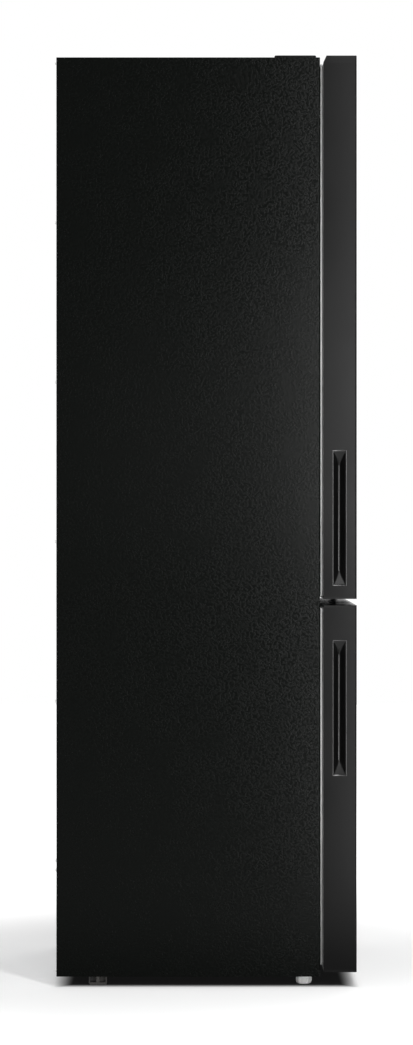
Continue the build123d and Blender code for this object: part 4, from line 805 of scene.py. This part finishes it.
class FRIDGE_OT_controls(bpy.types.Operator):
    """Mark the control panel with its pilot lights and frost signs, and hood the air outlets."""

    bl_idname = "fridge.controls"
    bl_label = "Controls and outlets"

    def execute(self, context):
        self.panel_marks()
        self.outlet_lips()
        return {"FINISHED"}

    def panel_marks(self):
        """Five pilot lights beside each button, and a frost sign that is larger for freezing."""
        low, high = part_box("control_panel")
        z = (low.z + high.z) / 2
        lights_out, sign_out = 80 * MM, 58 * MM
        for side, name, reach in ((-1, "cooling", 2.6 * MM), (1, "freezing", 3.8 * MM)):
            middle = (side * lights_out, low.y, z)
            light = bar(2.6 * MM, 2.6 * MM, 0.5 * MM)
            rows(f"{name}_lights", light, "lamp_lens", "cabinet", "-Y", middle, 5, 6 * MM)
            piece(f"{name}_sign", self.frost_sign((side * sign_out, low.y, z), reach), "button_grey", "cabinet")

    def frost_sign(self, at, reach):
        """Three thin bars that cross, as a sign for frost."""
        work = bmesh.new()
        for turn in range(3):
            arm = bar(2 * reach, 0.5 * MM, 0.25 * MM)
            to_front, spin = Matrix.Rotation(math.pi / 2, 4, "X"), Matrix.Rotation(turn * math.pi / 3, 4, "Z")
            arm.transform(Matrix.Translation(at) @ to_front @ spin)
            work.from_mesh(arm)
        mesh = bpy.data.meshes.new("frost_sign")
        work.to_mesh(mesh)
        work.free()
        return mesh

    def outlet_lips(self):
        """A lip over and a lip under each outlet of the air duct, above the three upper shelves."""
        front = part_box("air_duct_cover")[0].y
        above_shelf, out, half_outlet = 120 * MM, 37.5 * MM, 9 * MM
        places = []
        for shelf in (2, 3, 4):
            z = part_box(f"shelf_glass_{shelf}")[0].z + above_shelf
            places += [
                ((x, front, z + rise), (0, -1, 0)) for x in (-out, out) for rise in (-half_outlet, half_outlet)
            ]
        lip = bar(52 * MM, 3.4 * MM, 2.2 * MM)
        scattered("outlet_lips", lip, "panel_white", "cabinet", places)


# ---- stage ----
# Each lamp, where it is, what it points at, its width and height, and its power in watts.
LAMPS = (
    ("Strip lamp", (-1.6, -0.49, 1.31), (-0.3, -0.25, 1.31), (0.20, 2.6), 30),
    ("Door lamp", (-3.3, -0.46, 1.35), (-0.3, -0.28, 1.2), (0.3, 0.9), 9),
    ("Side lamp", (-6.2, 0.2, 1.3), (-0.3, -0.2, 1.0), (0.8, 0.8), 2.4),
    ("Right lamp", (3.0, -1.4, 2.2), (0, 0, 1.0), (1.6, 2.0), 30),
    ("Back lamp", (0, 3.6, 2.2), (0, 0, 1.0), (0.55, 1.8), 17),
    ("Front lamp", (0, -4.2, 1.7), (0, 0, 1.0), (0.55, 1.8), 23),
    ("Top lamp", (0, -0.3, 4.2), (0, 0, 0), (2.4, 2.4), 36),
)
# The black that the floor's painted shadow is blended towards, and plain white.
PAINTED_SHADOW_BLACK, WHITE = (0, 0, 0, 1), (1, 1, 1, 1)


def area_lamp(name, at, towards, size, power):
    """A soft rectangular lamp that the camera doesn't see."""
    data = bpy.data.lights.new(name, "AREA")
    data.shape, data.energy = "RECTANGLE", power
    data.size, data.size_y = size
    lamp = bpy.data.objects.new(name, data)
    lamp.location = at
    lamp.rotation_euler = (Vector(towards) - Vector(at)).to_track_quat("-Z", "Y").to_euler()
    lamp.visible_camera = False
    bpy.context.scene.collection.objects.link(lamp)


def seen_directly(tree):
    """1 for rays that should see the plain white background: straight, mirrored or through glass."""
    path = node(tree, "ShaderNodeLightPath").outputs
    seen = math_node(tree, "MAXIMUM", path["Is Camera Ray"], path["Is Glossy Ray"])
    return math_node(tree, "MAXIMUM", seen, path["Is Transmission Ray"])


class FRIDGE_OT_stage(bpy.types.Operator):
    """Make the floor, the even daylight, the soft lamps and the camera."""

    bl_idname = "fridge.stage"
    bl_label = "Stage"

    def execute(self, context):
        scene, stage = context.scene, context.scene.fridge_stage
        scene.view_settings.view_transform = "Standard"
        self.make_floor(stage)
        self.make_daylight(scene, stage)
        for lamp in LAMPS:
            area_lamp(*lamp)
        self.make_camera(scene, stage)
        return {"FINISHED"}

    def make_floor(self, stage):
        """A plane that looks white far off and keeps the cast shadow near by. Underneath it has a painted shadow:
        its colour and its white lift go almost to black under the refrigerator.
        """
        half, near, far = 9.0, 0.55, 1.7
        corners = [(-half, -half, 0), (half, -half, 0), (half, half, 0), (-half, half, 0)]
        mesh = bpy.data.meshes.new("Floor")
        mesh.from_pydata(corners, [], [(0, 1, 2, 3)])
        floor = bpy.data.objects.new("Floor", mesh)
        bpy.context.scene.collection.objects.link(floor)
        material = bpy.data.materials.new("Pale floor")
        material.use_nodes = True
        tree = material.node_tree
        shader = tree.nodes["Principled BSDF"]
        at = node(tree, "ShaderNodeTexCoord").outputs["Object"]
        outside_painted_shadow = self.outside_painted_shadow_mask(tree, at)
        patches = limits(tree, noise(tree, at, 3.0, detail=3.0), 0.3, 0.7, 0.97, 1.0)
        # Painted shadow: the floor's colour is blended towards black under the refrigerator.
        tone = math_node(tree, "MULTIPLY", patches, outside_painted_shadow)
        tree.links.new(blend(tree, tone, PAINTED_SHADOW_BLACK, (*stage.floor, 1)), shader.inputs["Base Color"])
        shader.inputs["Roughness"].default_value = 0.9
        shader.inputs["Specular IOR Level"].default_value = 0.0
        shader.inputs["Emission Color"].default_value = WHITE
        reach = node(tree, "ShaderNodeVectorMath", {0: at}, operation="LENGTH").outputs["Value"]
        white = limits(tree, reach, near, far, 0.30, 1.2)
        # The painted shadow also takes away the white lift under the refrigerator.
        lift = math_node(tree, "MULTIPLY", seen_directly(tree), math_node(tree, "MULTIPLY", white, outside_painted_shadow))
        tree.links.new(lift, shader.inputs["Emission Strength"])
        mesh.materials.append(material)

    def outside_painted_shadow_mask(self, tree, at):
        """Mask of the floor's painted shadow: almost 0 under the refrigerator, where the floor's colour is painted
        almost black, and 1 beside it.
        """
        axes = node(tree, "ShaderNodeSeparateXYZ", {"Vector": at}).outputs
        past = [
            math_node(tree, "SUBTRACT", math_node(tree, "ABSOLUTE", axes[axis]), edge)
            for axis, edge in (("X", CAD_BOX[1].x), ("Y", CAD_BOX[1].y))
        ]
        return limits(tree, math_node(tree, "MAXIMUM", *past), -35 * MM, 15 * MM, 0.02, 1.0)

    def make_daylight(self, scene, stage):
        """An even world that is plain white where it is seen directly."""
        world = bpy.data.worlds.new("Daylight")
        scene.world = world
        world.use_nodes = True
        tree = world.node_tree
        light = tree.nodes["Background"]
        light.inputs["Color"].default_value = WHITE
        strength = limits(tree, seen_directly(tree), 0.0, 1.0, stage.daylight, 1.0, smooth=False)
        tree.links.new(strength, light.inputs["Strength"])

    def make_camera(self, scene, stage):
        """A camera that looks level along +X at the left side."""
        data = bpy.data.cameras.new("Camera")
        data.lens = data.sensor_width * stage.distance / stage.picture_height
        camera = bpy.data.objects.new("Camera", data)
        camera.location = (CAD_BOX[0].x - stage.distance, 0, stage.eye_height)
        camera.rotation_euler = (math.radians(90), 0, math.radians(-90))
        scene.collection.objects.link(camera)
        scene.camera = camera


# ---- panel and registering ----
SETTINGS = {"fridge_colours": FridgeColours, "fridge_sizes": FridgeSizes, "fridge_stage": FridgeStage}
OPERATORS = (
    FRIDGE_OT_finishes, FRIDGE_OT_seals, FRIDGE_OT_grips, FRIDGE_OT_screws, FRIDGE_OT_ribs, FRIDGE_OT_controls,
    FRIDGE_OT_stage,
)


class FRIDGE_PT_panel(bpy.types.Panel):
    """Lists the settings and the steps."""

    bl_idname = "FRIDGE_PT_panel"
    bl_label = "Refrigerator"
    bl_space_type = "VIEW_3D"
    bl_region_type = "UI"
    bl_category = "Refrigerator"

    def draw(self, context):
        for group in SETTINGS:
            settings = getattr(context.scene, group)
            box = self.layout.box()
            for name in settings.__annotations__:
                box.prop(settings, name)
        for operator in OPERATORS:
            self.layout.operator(operator.bl_idname)


CLASSES = (*SETTINGS.values(), *OPERATORS, FRIDGE_PT_panel)


def register():
    for each in CLASSES:
        bpy.utils.register_class(each)
    for name, group in SETTINGS.items():
        setattr(bpy.types.Scene, name, bpy.props.PointerProperty(type=group))


def unregister():
    for name in SETTINGS:
        delattr(bpy.types.Scene, name)
    for each in reversed(CLASSES):
        bpy.utils.unregister_class(each)


def main():
    """Registers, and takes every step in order."""
    register()
    for operator in OPERATORS:
        getattr(bpy.ops.fridge, operator.bl_idname.split(".")[1])()


if __name__ == "__main__":
    main()
